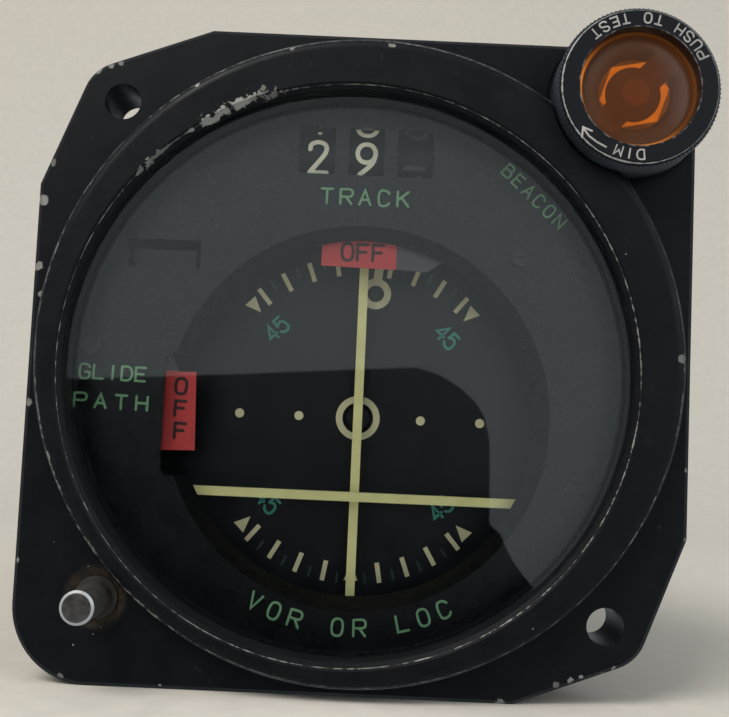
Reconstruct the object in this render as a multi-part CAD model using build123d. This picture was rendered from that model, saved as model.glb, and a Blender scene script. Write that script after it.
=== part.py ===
from build123d import *
import os
from math import acos, atan2, cos, degrees, hypot, pi, radians, sin, sqrt

# Aircraft course indicator: a square flange with a round bezel ring, a glass over a dial
# with two crossed needles, a course counter, a marker lamp, and a round case behind.
#
# Everything is drawn looking at the face: x to the right, y up, and depth counted from the
# front plane of the flange into the case, so that depth is minus z. The finished pieces are
# turned upright at export, where the face looks along -Y and up is +Z. Sizes are in mm.

# Flange and bezel ring, one casting
flange_size = 82.55
flange_thickness = 10.5
corner_radius = 9.6
lug_radius = 5.3
lug_flat_start = 20.5
mount_circle = 88.9
mount_hole = 4.6
edge_break = 0.5
ring_diameter = 79.4
ring_height = 4.3
ring_edge_round = 1.3
opening_radius = 34.9
opening_x = -1.3
opening_y = -1.7
opening_chamfer = 0.8
spigot_length = 5.5
spigot_wall = 1.15

# Glass stack behind the opening
lip_thickness = 2.0
glass_overlap = 1.6
gasket_thickness = 0.3
glass_thickness = 2.4
clamp_thickness = 4.0
clamp_wall = 0.8
fit_gap = 0.2

# Dial mask, with the round dial window and its sloping rim
mask_thickness = 1.0
dial_x = 0.0
dial_y = -6.9
window_radius = 23.0
rim_slope = 1.6
rim_depth = 2.2
rim_wall = 0.9
slot_width = 4.65
slot_height = 6.3
slot_pitch = 6.4
slot_x = -0.35
slot_y = 27.5
to_from_width = 9.4
to_from_height = 3.8
to_from_x = -25.9
to_from_y = 12.95
mask_screw_places = ((20.0, 14.4), (-34.3, 0.7))
small_head_radius = 1.15
small_head_height = 0.6
small_thread_radius = 0.8
small_screw_length = 3.8
screw_gap = 0.05

# Dial and what moves over it
dial_radius = 24.4
dial_depth = 14.4
dial_thickness = 0.8
vane_depth = 6.8
flag_depth = 7.45
foil = 0.3
glide_needle_depth = 8.5
course_needle_depth = 11.0
needle_width = 1.2
needle_thickness = 0.4
needle_arm_length = 80.0
needle_top = 18.3
needle_arm_thickness = 0.5
glide_drop = 10.6
staff_radius = 0.55
flag_meter_radius = 3.4
flag_meter_face = 8.6
vane_meter_radius = 2.7
vane_meter_face = 13.2
vane_reach = 14.0
vane_swing = 24.0
course_flag_pivot = (25.0, 18.5)
glide_flag_pivot = (-28.5, 8.0)
vane_pivot = (-17.0, 15.6)
pointer_depth = 13.4
pointer_angle = 5.7
pointer_ring_place = 17.15
pointer_ring_radius = 2.1
pointer_ring_bore = 1.15
pointer_arm_half = 0.45
pointer_tail_half = 0.6
pointer_tail_end = 4.0
pointer_hub_radius = 1.5
pointer_overlap = 0.3

# Chassis plates and case
plate_thickness = 1.5
case_length = 107.5
case_diameter = 79.0
case_wall = 0.9
case_gap = 0.05
mid_plate_depth = 64.0
rear_clearance = 10.5
post_radius = 1.6
post_places = ((29.0, 17.5), (-29.5, 19.6), (2.0, -34.5), (20.0, -28.5))
plate_screw_circle = 35.3
plate_screw_head = 1.7
plate_screw_head_height = 1.3
plate_screw_slot = 0.6
plate_screw_radius = 0.9
plate_screw_length = 4.5
plate_screw_angles = (20.0, 168.0, 258.0, 330.0)

# Course set shaft and its gears
shaft_x = -31.0
shaft_y = -30.6
shaft_radius = 2.0
shaft_reach = 9.6
shaft_tip_chamfer = 0.25
shoulder_gap = 0.3
journal_radius = 1.75
bush_seat = 0.35
bush_wall = 0.85
pocket_depth = 6.2
running_gap = 0.04
gear_module = 0.5
gear_width = 2.0
pinion_teeth = 24
idler_front_teeth = 16
idler_rear_teeth = 16
transfer_teeth = 44
upper_teeth = 32
contrate_pinion_teeth = 18
contrate_teeth = 22
cross_spur_teeth = 20
counter_teeth = 30
arbor_radius = 1.0
cover_thickness = 1.2
cover_bore_depth = 0.9
cover_radius = 9.2
cover_ear_width = 4.4
cover_case_gap = 0.3
cover_screw_places = ((-38.5, -25.0), (-25.4, -38.5))
bridge_thickness = 1.2

# Course counter
drum_radius = 7.7
drum_width = 6.0
drum_y = 27.7
drum_wall = 1.2
drum_recess = 2.2
drum_hub_radius = 2.6
counter_gear_width = 1.0
axle_radius = 1.5
cheek_thickness = 1.2
cross_shaft_depth = 25.0
cross_shaft_y = 21.5

# Needle movements, drawn on their own axis
magnet_radius = 10.0
magnet_bore = 6.5
core_radius = 4.2
magnet_length = 13.0
coil_radius = 5.7
coil_depth = 1.6
coil_band = 0.9
arm_level = 11.6
rail_half = 0.4
staff_hub_radius = 1.4
staff_hub_half = 0.6
pivot_radius = 0.6
pivot_reach = 0.8
bracket_width = 6.0
bracket_wall = 1.2
bearing_gap = 1.2
core_end_gap = 1.4
core_web_width = 3.0
core_web_depth = 5.0
magnet_bottom = -3.2
magnet_top = magnet_bottom + magnet_length
coil_bottom = magnet_bottom + 1.2
coil_top = magnet_top - 1.0
upper_bearing = arm_level + bearing_gap
lower_bearing = magnet_bottom

# Synchros
heading_synchro_radius = 11.0
resolver_radius = 8.0
synchro_depth = 26.0

# Marker lamp
lamp_x = 32.3
lamp_y = 33.9
lamp_cap_radius = 9.7
lamp_cap_front = 7.6
lamp_cap_rear = 1.2
lamp_press = 1.1
lens_radius = 7.3
lamp_neck_radius = 5.5
lamp_length = 24.0
lamp_step = 1.0
lamp_seat_depth = 0.3
lamp_seat_gap = 0.5
lamp_wall = 1.2
socket_radius = 4.4
socket_reach = 4.0
socket_rear = 12.5
collar_depth = 11.0
collar_step = 0.5
bulb_radius = 3.1
bulb_rear = 9.0
lens_lip = 0.9
lens_front = 5.9
lens_dome = 0.9
web_front = 3.7
diffuser_radius = 4.35
diffuser_angle = 12.0
plate_foil = 0.25
shutter_radius = 3.4
shutter_wing = 3.4
shutter_angle = 48.0
shutter_shift = (-0.35, -0.3)
spring_wire = 0.35
spring_turns = 4
contact_plug_radius = 1.5

# Rear connector
connector_radius = 12.0
connector_length = 12.0
connector_flange = 30.0
connector_plate = 1.8
connector_corner = 3.0
connector_wall = 1.8
connector_spigot_step = 0.9
connector_key_half = 0.8
connector_key_reach = 1.0
connector_hole = 1.3
contact_rings = ((6, 3.0), (12, 5.8), (16, 8.4))
insert_near, insert_far = -5.0, 4.0
connector_screw_head = 2.2
connector_screw_head_height = 1.4
connector_screw_slot = 0.6
connector_screw_radius = 1.25
contact_radius = 0.8

# Worked out from the sizes above
half = flange_size / 2
mount = mount_circle / 2 / sqrt(2)
bush_radius = journal_radius + running_gap + bush_wall
ring_radius = ring_diameter / 2
case_radius = case_diameter / 2
case_bore = case_radius - case_wall
spigot_radius = case_bore - case_gap
cavity_radius = spigot_radius - spigot_wall
plate_depth = flange_thickness + spigot_length
plate_rear = plate_depth + plate_thickness
plate_radius = spigot_radius - 0.15
case_end = flange_thickness + case_length
rear_plate_depth = case_end - rear_clearance - plate_thickness
glass_radius = opening_radius + glass_overlap - fit_gap
gasket_depth = lip_thickness - ring_height
glass_depth = gasket_depth + gasket_thickness
clamp_depth = glass_depth + glass_thickness
mask_depth = clamp_depth + clamp_thickness
mask_rear = mask_depth + mask_thickness
gear_depth = plate_rear + 0.8
gear_rear = gear_depth + gear_width
bridge_depth = gear_rear + 1.7
pitch_step = pi * gear_module
case_screw_depth = flange_thickness + spigot_length / 2
course_axis_depth = course_needle_depth + needle_arm_length
glide_axis_depth = glide_needle_depth + needle_arm_length
glide_axis_x = 14.1

lamp_place = (lamp_x, lamp_y)
UP = (Align.CENTER, Align.CENTER, Align.MIN)
TURN_UPRIGHT = Rot(90, 0, 0)


# Basic shapes along the depth axis

def rod(radius, near, far, x=0.0, y=0.0):
    """Round bar along the depth axis, from depth near to depth far."""
    return Pos(x, y, -far) * Cylinder(radius, far - near, align=UP)


def tube(outer, inner, near, far, x=0.0, y=0.0):
    """Hollow round bar along the depth axis."""
    return rod(outer, near, far, x, y) - rod(inner, near - 1, far + 1, x, y)


def slab(outline, near, far):
    """Flat piece of the given outline, from depth near to depth far."""
    return Pos(0, 0, -far) * extrude(outline, far - near)


def block(x0, x1, y0, y1, near, far):
    """Box given by its sides."""
    center = ((x0 + x1) / 2, (y0 + y1) / 2, -(near + far) / 2)
    return Pos(*center) * Box(x1 - x0, y1 - y0, far - near)


def cross_rod(radius, x0, x1, y, depth):
    """Round bar along x."""
    return Pos(x0, y, -depth) * Rot(0, 90, 0) * Cylinder(radius, x1 - x0, align=UP)


def spot(radius, place):
    """Disc outline about a place."""
    return Pos(*place) * Circle(radius)


def bar(start, end, width):
    """Flat bar outline with round ends, from one place to another."""
    middle = ((start[0] + end[0]) / 2, (start[1] + end[1]) / 2)
    length = hypot(end[0] - start[0], end[1] - start[1])
    angle = degrees(atan2(end[1] - start[1], end[0] - start[0]))
    straight = Pos(*middle) * Rot(0, 0, angle) * Rectangle(length, width)
    return straight + spot(width / 2, start) + spot(width / 2, end)


def around(places, make):
    """The same piece made once at each place, kept as separate solids."""
    return Compound([make(x, y) for x, y in places])


def on_circle(radius, angles):
    """Places on a circle about the case axis."""
    return [(radius * cos(radians(a)), radius * sin(radians(a))) for a in angles]


# Gear teeth

def pitch_radius(teeth):
    """Radius of the pitch circle of a gear."""
    return teeth * gear_module / 2


def gear_outline(teeth, phase=0.0):
    """Spur gear outline; phase is the angle in degrees of the middle of one tooth."""
    radius = pitch_radius(teeth)
    tip = radius + 0.6 * gear_module
    root = radius - 0.9 * gear_module
    foot_half = degrees(0.26 * pitch_step / root)
    tip_half = degrees(0.12 * pitch_step / tip)
    points = []
    for tooth in range(teeth):
        middle = phase + 360.0 * tooth / teeth
        for offset, reach in ((-foot_half, root), (-tip_half, tip), (tip_half, tip), (foot_half, root)):
            angle = radians(middle + offset)
            points.append((reach * cos(angle), reach * sin(angle)))
    return Polygon(*points)


def gear(teeth, near, far, place, phase):
    """Spur gear with its axis along the depth."""
    return Pos(*place) * slab(gear_outline(teeth, phase), near, far)


def meshed_phase(phase, teeth, other_teeth, direction):
    """Phase of a gear that meshes, in the given direction, with one of known phase."""
    lead = radians(phase - direction) * pitch_radius(teeth) + pitch_step / 2
    return direction + 180.0 - degrees(lead / pitch_radius(other_teeth))


def heading(start, end):
    """Direction in degrees from one place to another."""
    return degrees(atan2(end[1] - start[1], end[0] - start[0]))


def third_corner(start, end, from_start, from_end, side):
    """Place at known distances from two others, left (+1) or right (-1) of the line between."""
    span = hypot(end[0] - start[0], end[1] - start[1])
    along = (from_start ** 2 - from_end ** 2 + span ** 2) / (2 * span)
    away = sqrt(from_start ** 2 - along ** 2) * side
    ux, uy = (end[0] - start[0]) / span, (end[1] - start[1]) / span
    return (start[0] + ux * along - uy * away, start[1] + uy * along + ux * away)


# Gear places: the course shaft stands outside the case circle, so an idler carries its
# motion inwards, and a chain of gears carries it up the left side to the counter
shaft_place = (shaft_x, shaft_y)
transfer_place = (-20.5, -9.0)
idler_place = third_corner(
    shaft_place,
    transfer_place,
    pitch_radius(pinion_teeth) + pitch_radius(idler_front_teeth),
    pitch_radius(idler_rear_teeth) + pitch_radius(transfer_teeth),
    -1,
)
contrate_pinion_place = (-18.6, cross_shaft_y)
upper_place = third_corner(
    transfer_place,
    contrate_pinion_place,
    pitch_radius(transfer_teeth) + pitch_radius(upper_teeth),
    pitch_radius(upper_teeth) + pitch_radius(contrate_pinion_teeth),
    1,
)
cross_axis = (cross_shaft_depth, cross_shaft_y)
counter_reach = pitch_radius(cross_spur_teeth) + pitch_radius(counter_teeth)
drum_depth = cross_shaft_depth - sqrt(counter_reach ** 2 - (drum_y - cross_shaft_y) ** 2)
counter_axis = (drum_depth, drum_y)

# Tooth phases, passed on from gear to gear
pinion_phase = heading(shaft_place, idler_place)
idler_front_phase = meshed_phase(
    pinion_phase, pinion_teeth, idler_front_teeth, heading(shaft_place, idler_place)
)
idler_rear_phase = 0.0
transfer_phase = meshed_phase(
    idler_rear_phase, idler_rear_teeth, transfer_teeth, heading(idler_place, transfer_place)
)
upper_phase = meshed_phase(
    transfer_phase, transfer_teeth, upper_teeth, heading(transfer_place, upper_place)
)
contrate_pinion_phase = meshed_phase(
    upper_phase, upper_teeth, contrate_pinion_teeth, heading(upper_place, contrate_pinion_place)
)
cross_spur_phase = 0.0
counter_gear_phase = meshed_phase(
    cross_spur_phase, cross_spur_teeth, counter_teeth, heading(cross_axis, counter_axis)
)


# Front casting

def lug_touch(corner, start):
    """Where a flat running from a flange edge touches the round of a mounting lug."""
    dx, dy = start[0] - corner[0], start[1] - corner[1]
    spread = acos(lug_radius / hypot(dx, dy))
    turn = spread if corner[0] * dy - corner[1] * dx < 0 else -spread
    angle = atan2(dy, dx) + turn
    return (corner[0] + lug_radius * cos(angle), corner[1] + lug_radius * sin(angle))


def flange_outline():
    """Square flange with two round corners and two corners drawn in to mounting lugs."""
    lug = (-mount, mount)
    top_start = (-lug_flat_start, half)
    side_start = (-half, lug_flat_start)
    upper_left = [top_start, lug_touch(lug, top_start), lug_touch(lug, side_start), side_start]
    lower_right = [(-x, -y) for x, y in upper_left]
    square = Polygon(*upper_left, (-half, -half), *lower_right, (half, half))
    corners = square.vertices().filter_by(lambda v: abs(v.X - v.Y) < 0.01)
    return fillet(corners, corner_radius) + spot(lug_radius, lug) + spot(lug_radius, (mount, -mount))


def bezel_casting():
    """Flange, bezel ring, rear spigot, bores, lamp seat and gear pocket in one casting."""
    flange = slab(flange_outline(), 0, flange_thickness)
    flange = chamfer(flange.faces().sort_by(Axis.Z)[-1].edges(), edge_break)
    ring = rod(ring_radius, -ring_height, 0.5)
    ring = fillet(ring.faces().sort_by(Axis.Z)[-1].edges(), ring_edge_round)
    body = flange + ring + rod(spigot_radius, flange_thickness - 0.5, plate_depth)
    opening = rod(opening_radius, -ring_height, gasket_depth, opening_x, opening_y)
    countersink = Pos(opening_x, opening_y, ring_height - opening_chamfer) * Cone(
        opening_radius, opening_radius + opening_chamfer, opening_chamfer, align=UP
    )
    glass_bore = rod(opening_radius + glass_overlap, gasket_depth, mask_rear + 0.6, opening_x, opening_y)
    body -= opening + countersink + glass_bore
    body -= rod(cavity_radius, mask_rear, plate_depth)
    for place in cover_screw_places:
        body -= rod(small_thread_radius, flange_thickness - 3, flange_thickness, *place)
    for x, y in on_circle(plate_screw_circle, plate_screw_angles):
        boss = rod(2.4, mask_rear + 4, plate_depth, x, y) & rod(spigot_radius, 0, plate_depth)
        body += boss - rod(0.9, plate_depth - 5, plate_depth, x, y)
    for sign in (-1, 1):
        body -= rod(mount_hole / 2, 0, flange_thickness, sign * mount, -sign * mount)
    for angle in (0, 90, 180, 270):
        body -= case_screw_hole(angle)
    return body - lamp_seat() - gear_pocket()


def lamp_seat():
    """Room for the lamp cap, milled through the ring and just into the flange, and the neck's hole."""
    scallop = rod(lamp_cap_radius + lamp_seat_gap, -ring_height, lamp_seat_depth, lamp_x, lamp_y)
    return scallop + rod(lamp_neck_radius + 0.05, 0, flange_thickness, lamp_x, lamp_y)


def gear_pocket():
    """Bush hole, pocket for the course pinion and the passage to the idler."""
    pocket = pitch_radius(pinion_teeth) + 1.0
    far_side = pitch_radius(idler_front_teeth) + 1.0
    hole = rod(bush_radius, 0, pocket_depth, *shaft_place)
    hole += Pos(*shaft_place, -bush_seat) * Cone(bush_radius, bush_radius + 1.1, bush_seat, align=UP)
    room = rod(pocket, pocket_depth, flange_thickness, *shaft_place)
    room += rod(far_side, pocket_depth, flange_thickness - 0.3, *idler_place)
    return hole + room


def case_screw_hole(angle):
    """Threaded hole in the spigot for one case screw, with room for its countersunk head."""
    start = Pos(cavity_radius - 1, 0, 0) * Rot(0, 90, 0)
    hole = start * Cylinder(1.0, spigot_radius - cavity_radius + 2, align=UP)
    seat = Pos(case_radius - 1.2, 0, 0) * Rot(0, 90, 0) * Cone(1.0, 2.2, 1.2, align=UP)
    return Pos(0, 0, -case_screw_depth) * Rot(0, 0, angle) * (hole + seat)


# Glass stack

def glass_gasket():
    """Flat rubber ring between the bezel lip and the glass."""
    return tube(glass_radius, opening_radius + 0.3, gasket_depth, glass_depth, opening_x, opening_y)


def cover_glass():
    """Round flat glass."""
    glass = rod(glass_radius, glass_depth, clamp_depth, opening_x, opening_y)
    return chamfer(glass.edges().filter_by(GeomType.CIRCLE), 0.2)


def glass_clamp_ring():
    """Spacer ring between the glass and the mask, seen as a narrow grey band."""
    return tube(glass_radius, glass_radius - clamp_wall, clamp_depth, mask_depth, opening_x, opening_y)


def flag_notch():
    """Opening at the left of the dial window for the glide flag."""
    left, right = dial_x - window_radius - 1.9, dial_x - window_radius + 4
    low, high = dial_y - 8.6, dial_y + 7.1
    notch = block(left, right, low, high, mask_depth, mask_depth + rim_depth)
    return fillet(notch.edges().filter_by(Axis.Z).sort_by(Axis.X)[:2], 1.0)


def dial_mask():
    """Front dial plate with the round window, its sloping rim, counter slots and to-from slot."""
    outer = window_radius + rim_slope
    mask = rod(glass_radius, mask_depth, mask_rear, opening_x, opening_y)
    rim_far = mask_depth + rim_depth
    rim = Pos(dial_x, dial_y, -rim_far) * Cone(
        window_radius + rim_wall, outer + rim_wall, rim_depth, align=UP
    )
    well = Pos(dial_x, dial_y, -rim_far) * Cone(window_radius, outer, rim_depth, align=UP)
    mask = mask + (rim & rod(glass_radius, 0, rim_far, opening_x, opening_y)) - well
    for column in (-1, 0, 1):
        x = slot_x + column * slot_pitch
        half_width, half_height = slot_width / 2, slot_height / 2
        mask -= block(
            x - half_width, x + half_width, slot_y - half_height, slot_y + half_height, mask_depth, mask_rear
        )
    half_width, half_height = to_from_width / 2, to_from_height / 2
    mask -= block(
        to_from_x - half_width,
        to_from_x + half_width,
        to_from_y - half_height,
        to_from_y + half_height,
        mask_depth,
        mask_rear,
    )
    mask -= flag_notch()
    for place in mask_screw_places:
        mask -= rod(small_thread_radius + screw_gap, mask_depth, mask_rear, *place)
    return mask


def small_screw():
    """Slotted screw drawn at the origin, its head in front of depth 0."""
    screw = rod(small_head_radius, -small_head_height, 0) + rod(small_thread_radius, 0, small_screw_length)
    slot = block(-2, 2, -0.18, 0.18, -small_head_height, -small_head_height / 2)
    return screw - slot


def small_screws():
    """Two screws that hold the mask on its posts, and two for the pinion cover behind the flange."""
    screws = [Pos(x, y, -mask_depth) * Rot(0, 0, 35 * k) * small_screw()
              for k, (x, y) in enumerate(mask_screw_places)]
    cover_face = -(flange_thickness + cover_thickness)
    screws += [Pos(x, y, cover_face) * Rot(180, 0, 0) * small_screw() for x, y in cover_screw_places]
    return Compound(screws)


def mask_posts():
    """Posts from the front plate to the back of the mask."""
    return around(
        mask_screw_places,
        lambda x, y: rod(1.8, mask_rear, plate_depth, x, y)
        - rod(small_thread_radius, mask_rear, mask_depth + small_screw_length + 0.5, x, y),
    )


# Dial

def dial_plate():
    """Round dial behind the needles."""
    dial = rod(dial_radius, dial_depth, dial_depth + dial_thickness, dial_x, dial_y)
    return dial - rod(2.0, dial_depth - 1, dial_depth + 2, dial_x, dial_y)


def dial_spacers():
    """Short bosses that carry the dial on the front plate."""
    reach = dial_radius - 3.0
    places = [(dial_x + reach * cos(radians(a)), dial_y + reach * sin(radians(a))) for a in (30, 150, 270)]
    return around(places, lambda x, y: rod(1.6, dial_depth + dial_thickness, plate_depth, x, y))


def heading_pointer():
    """Arm with a ring and tail on its own shaft, turned to the shown heading."""
    blade = foil + 0.1
    ring_y = pointer_ring_place
    far = pointer_depth + blade
    arm_end = ring_y - pointer_ring_radius + pointer_overlap + 0.2
    arm = block(-pointer_arm_half, pointer_arm_half, 0, arm_end, pointer_depth, far)
    ring = Pos(0, ring_y, 0) * tube(pointer_ring_radius, pointer_ring_bore, pointer_depth, far)
    tail_start = ring_y + pointer_ring_radius - pointer_overlap
    tail_end = ring_y + pointer_tail_end
    tail = block(-pointer_tail_half, pointer_tail_half, tail_start, tail_end, pointer_depth, far)
    hub = rod(pointer_hub_radius, pointer_depth - 0.2, synchro_depth + 5.5)
    turned = Rot(0, 0, -pointer_angle) * (arm + ring + tail + hub)
    return Pos(dial_x, dial_y, 0) * turned


# Flags and vane, each on the staff of a small movement

def flag_meter(place, radius, face):
    """Small sealed movement on the front plate, with a hole for its staff."""
    body = rod(radius, face, plate_depth, *place)
    body = fillet(body.faces().sort_by(Axis.Z)[-1].edges(), 0.4)
    return body - rod(staff_radius + running_gap, face - 1, plate_depth - 1, *place)


def flag_meters():
    """The two movements of the warning flags."""
    places = (course_flag_pivot, glide_flag_pivot)
    return around(places, lambda x, y: flag_meter((x, y), flag_meter_radius, flag_meter_face))


def flag_staff(near, place):
    """Staff and hub of a flag lever."""
    return rod(1.1, near, near + foil + 0.25, *place) + rod(staff_radius, near, plate_depth - 1.3, *place)


def course_flag():
    """Flag over the top of the dial, with its tab and lever."""
    blade = Polygon((-5.7, 12.8), (4.15, 12.65), (4.15, 17.2), (-5.7, 17.2))
    lever = Polygon(
        (4.0, 12.7), (8.3, 12.5), (12.5, 15.6), (24.8, 17.6), (25.0, 19.4), (11.5, 17.3), (4.0, 16.6)
    )
    shape = slab(blade + lever, flag_depth, flag_depth + foil)
    return shape + flag_staff(flag_depth, course_flag_pivot)


def glide_flag():
    """Flag at the left of the dial, with its lever."""
    blade = Polygon((-25.3, -12.35), (-21.0, -12.2), (-21.35, -2.0), (-25.5, -2.1))
    lever = bar((-24.3, -2.6), glide_flag_pivot, 1.6)
    shape = slab(blade + lever, flag_depth, flag_depth + foil)
    return shape + flag_staff(flag_depth, glide_flag_pivot)


def to_from_vane():
    """Vane behind the to-from slot, long enough to fill the slot at both ends of its swing."""
    right = to_from_x + to_from_width / 2 - vane_pivot[0]
    high = to_from_y + to_from_height / 2 + 0.6 - vane_pivot[1]
    low = to_from_y - to_from_height / 2 - 0.6 - vane_pivot[1]
    turn = radians(vane_swing)
    ux, uy = cos(turn), sin(turn)
    outline = Polygon(
        (right * ux - low * uy, right * uy + low * ux),
        (-vane_reach * ux - low * uy, -vane_reach * uy + low * ux),
        (-vane_reach - 2, 0),
        (-vane_reach * ux + high * uy, vane_reach * uy + high * ux),
        (right * ux + high * uy, -right * uy + high * ux),
    )
    plate = slab(outline & Circle(vane_reach), vane_depth, vane_depth + foil)
    arm = slab(bar((right, (low + high) / 2), (0, 0), 1.8), vane_depth, vane_depth + foil)
    return Pos(*vane_pivot) * (plate + arm) + flag_staff(vane_depth, vane_pivot)


# Needles and their movements

def turned_about(shape, axis_point, angle, axis):
    """Turn a piece about an axis through a point."""
    px, py, pz = axis_point
    turn = Rot(angle, 0, 0) if axis == "x" else Rot(0, angle, 0)
    return Pos(px, py, pz) * turn * Pos(-px, -py, -pz) * shape


def needle(length_low, length_high, depth):
    """Flat straight needle along y."""
    half_width = needle_width / 2
    return block(-half_width, half_width, length_low, length_high, depth, depth + needle_thickness)


def course_needle():
    """Vertical needle, carried at its top by an arm from the rear movement."""
    top = needle_top
    strip = needle(dial_y - window_radius - 1.1, top, course_needle_depth)
    drop_near, drop_far = gear_depth - 0.3, gear_depth + 0.1
    low, high = arm_level - rail_half, arm_level + rail_half
    arm = block(-rail_half, rail_half, top - needle_arm_thickness, top, course_needle_depth, drop_far)
    drop = block(-rail_half, rail_half, low, top, drop_near, drop_far)
    rail = block(-rail_half, rail_half, low, high, drop_near, course_axis_depth)
    staff = Pos(0, 0, -course_axis_depth) * moving_staff()
    return strip + arm + drop + rail + staff


def moving_staff():
    """Hub and upper and lower pivots of a needle movement, along y."""
    hub = up_rod(staff_hub_radius, arm_level - staff_hub_half, arm_level + staff_hub_half)
    upper = up_rod(pivot_radius, coil_top, upper_bearing + pivot_reach)
    lower = up_rod(pivot_radius, lower_bearing - pivot_reach, coil_bottom)
    return hub + upper + lower + coil()


def up_rod(radius, low, high):
    """Round bar along y on the movement axis."""
    return Pos(0, low, 0) * Rot(-90, 0, 0) * Cylinder(radius, high - low, align=UP)


def coil():
    """Rectangular coil that turns in the gap of the magnet."""
    width, height = coil_radius * 2, coil_top - coil_bottom
    middle = Pos(0, (coil_bottom + coil_top) / 2, 0)
    outer = middle * Box(width, height, coil_depth)
    inner = middle * Box(width - 2 * coil_band, height - 2 * coil_band, 2 * coil_depth)
    return outer - inner


def movement_magnet():
    """Ring magnet and soft core, joined behind the coil by a web."""
    ring = up_rod(magnet_radius, magnet_bottom, magnet_top) - up_rod(magnet_bore, magnet_bottom - 1, 20)
    core_low, core_high = coil_bottom + core_end_gap, coil_top - core_end_gap
    core = up_rod(core_radius, core_low, core_high)
    middle = (core_low + core_high) / 2
    web_place = Pos(0, middle, -(core_radius + magnet_bore) / 2)
    web = web_place * Box(core_web_width, core_high - core_low - 1, core_web_depth)
    return ring + core + web


def movement_frame():
    """Bracket with both bearings, standing on the rear plate."""
    back = rear_plate_depth - course_axis_depth
    low = lower_bearing - bracket_wall
    high = upper_bearing + bracket_wall
    front = bracket_width / 2
    web_place = Pos(0, (low + high) / 2, -(back + magnet_radius) / 2)
    web = web_place * Box(bracket_width, high - low, back - magnet_radius)
    arm = Pos(0, 0, -(back - front) / 2) * Box(bracket_width, bracket_wall, back + front)
    top_arm = Pos(0, upper_bearing + bracket_wall / 2, 0) * arm
    bottom_arm = Pos(0, lower_bearing - bracket_wall / 2, 0) * arm
    bearing = up_rod(pivot_radius + running_gap, low - 1, high + 1)
    return web + top_arm + bottom_arm - bearing


def at_course_axis(shape):
    """Place a movement piece on the vertical needle's axis."""
    return Pos(0, 0, -course_axis_depth) * shape


def at_glide_axis(shape):
    """Place a movement piece on the horizontal needle's axis."""
    return Pos(glide_axis_x, dial_y, -glide_axis_depth) * Rot(0, 0, -90) * shape


def glide_needle():
    """Horizontal needle, carried at its right end, shown below the middle of the dial."""
    arm_x = glide_axis_x + arm_level
    half_width = needle_width / 2
    near = glide_needle_depth
    strip = block(
        dial_x - window_radius - 1.0,
        arm_x + rail_half,
        dial_y - half_width,
        dial_y + half_width,
        near,
        near + needle_thickness,
    )
    left, right = arm_x - rail_half, arm_x + rail_half
    rail = block(left, right, dial_y - rail_half, dial_y + rail_half, near, glide_axis_depth)
    whole = strip + rail + at_glide_axis(moving_staff())
    swing = degrees(atan2(glide_drop, needle_arm_length))
    return turned_about(whole, (0, dial_y, -glide_axis_depth), swing, "x")


def glide_frame():
    """Bracket of the horizontal needle's movement, reaching back to the rear plate."""
    reach = course_axis_depth - glide_axis_depth
    frame = at_glide_axis(movement_frame())
    gap_near = rear_plate_depth - reach
    foot = block(
        glide_axis_x + lower_bearing - bracket_wall,
        glide_axis_x + upper_bearing + bracket_wall,
        dial_y - bracket_width / 2,
        dial_y + bracket_width / 2,
        gap_near - 0.5,
        rear_plate_depth,
    )
    return frame + foot


# Course shaft and gear train

def course_bush():
    """Bush pressed in the flange for the course shaft."""
    return tube(bush_radius, journal_radius + running_gap, 0, pocket_depth, *shaft_place)


def course_shaft():
    """Bare shaft with a shoulder in front of its bush and a thinner journal behind."""
    rear = flange_thickness + cover_bore_depth - running_gap
    knob_seat = rod(shaft_radius, -shaft_reach, -shoulder_gap, *shaft_place)
    knob_seat = chamfer(knob_seat.edges().filter_by(GeomType.CIRCLE).sort_by(Axis.Z)[-1], shaft_tip_chamfer)
    return knob_seat + rod(journal_radius, -shoulder_gap, rear, *shaft_place)


def course_pinion():
    """Pinion on the course shaft, in the pocket of the flange."""
    pinion = gear(pinion_teeth, pocket_depth + 0.2, pocket_depth + 3.0, shaft_place, pinion_phase)
    return pinion - rod(journal_radius, pocket_depth, flange_thickness, *shaft_place)


def pinion_cover():
    """Cover behind the pinion pocket, holding the end of the shaft."""
    near, far = flange_thickness, flange_thickness + cover_thickness
    outline = spot(cover_radius, shaft_place)
    for place in cover_screw_places:
        outline += bar(shaft_place, place, cover_ear_width)
    cover = slab(outline & flange_outline(), near, far) - rod(case_radius + cover_case_gap, near, far)
    for place in cover_screw_places:
        cover -= rod(small_thread_radius + screw_gap, near, far, *place)
    return cover - rod(journal_radius + running_gap, near, near + cover_bore_depth, *shaft_place)


def idler_gear():
    """Front gear in the pocket and rear gear behind the plate, on one arbor."""
    front = gear(idler_front_teeth, pocket_depth + 0.6, pocket_depth + 3.0, idler_place, idler_front_phase)
    rear = gear(idler_rear_teeth, gear_depth, gear_rear, idler_place, idler_rear_phase)
    arbor = rod(arbor_radius, pocket_depth + 0.6, bridge_depth + bridge_thickness, *idler_place)
    return front + rear + arbor


def transfer_gear():
    """Large gear whose arbor also drives the course resolver."""
    wheel = gear(transfer_teeth, gear_depth, gear_rear, transfer_place, transfer_phase)
    for angle in range(0, 360, 72):
        a = radians(angle)
        x, y = transfer_place[0] + 6.2 * cos(a), transfer_place[1] + 6.2 * sin(a)
        wheel -= rod(2.1, gear_depth - 1, gear_rear + 1, x, y)
    return wheel + rod(arbor_radius, plate_depth, synchro_depth + 5, *transfer_place)


def upper_transfer_gear():
    """Gear between the transfer gear and the contrate pinion."""
    wheel = gear(upper_teeth, gear_depth, gear_rear, upper_place, upper_phase)
    return wheel + rod(arbor_radius, plate_depth, bridge_depth + bridge_thickness, *upper_place)


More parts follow.
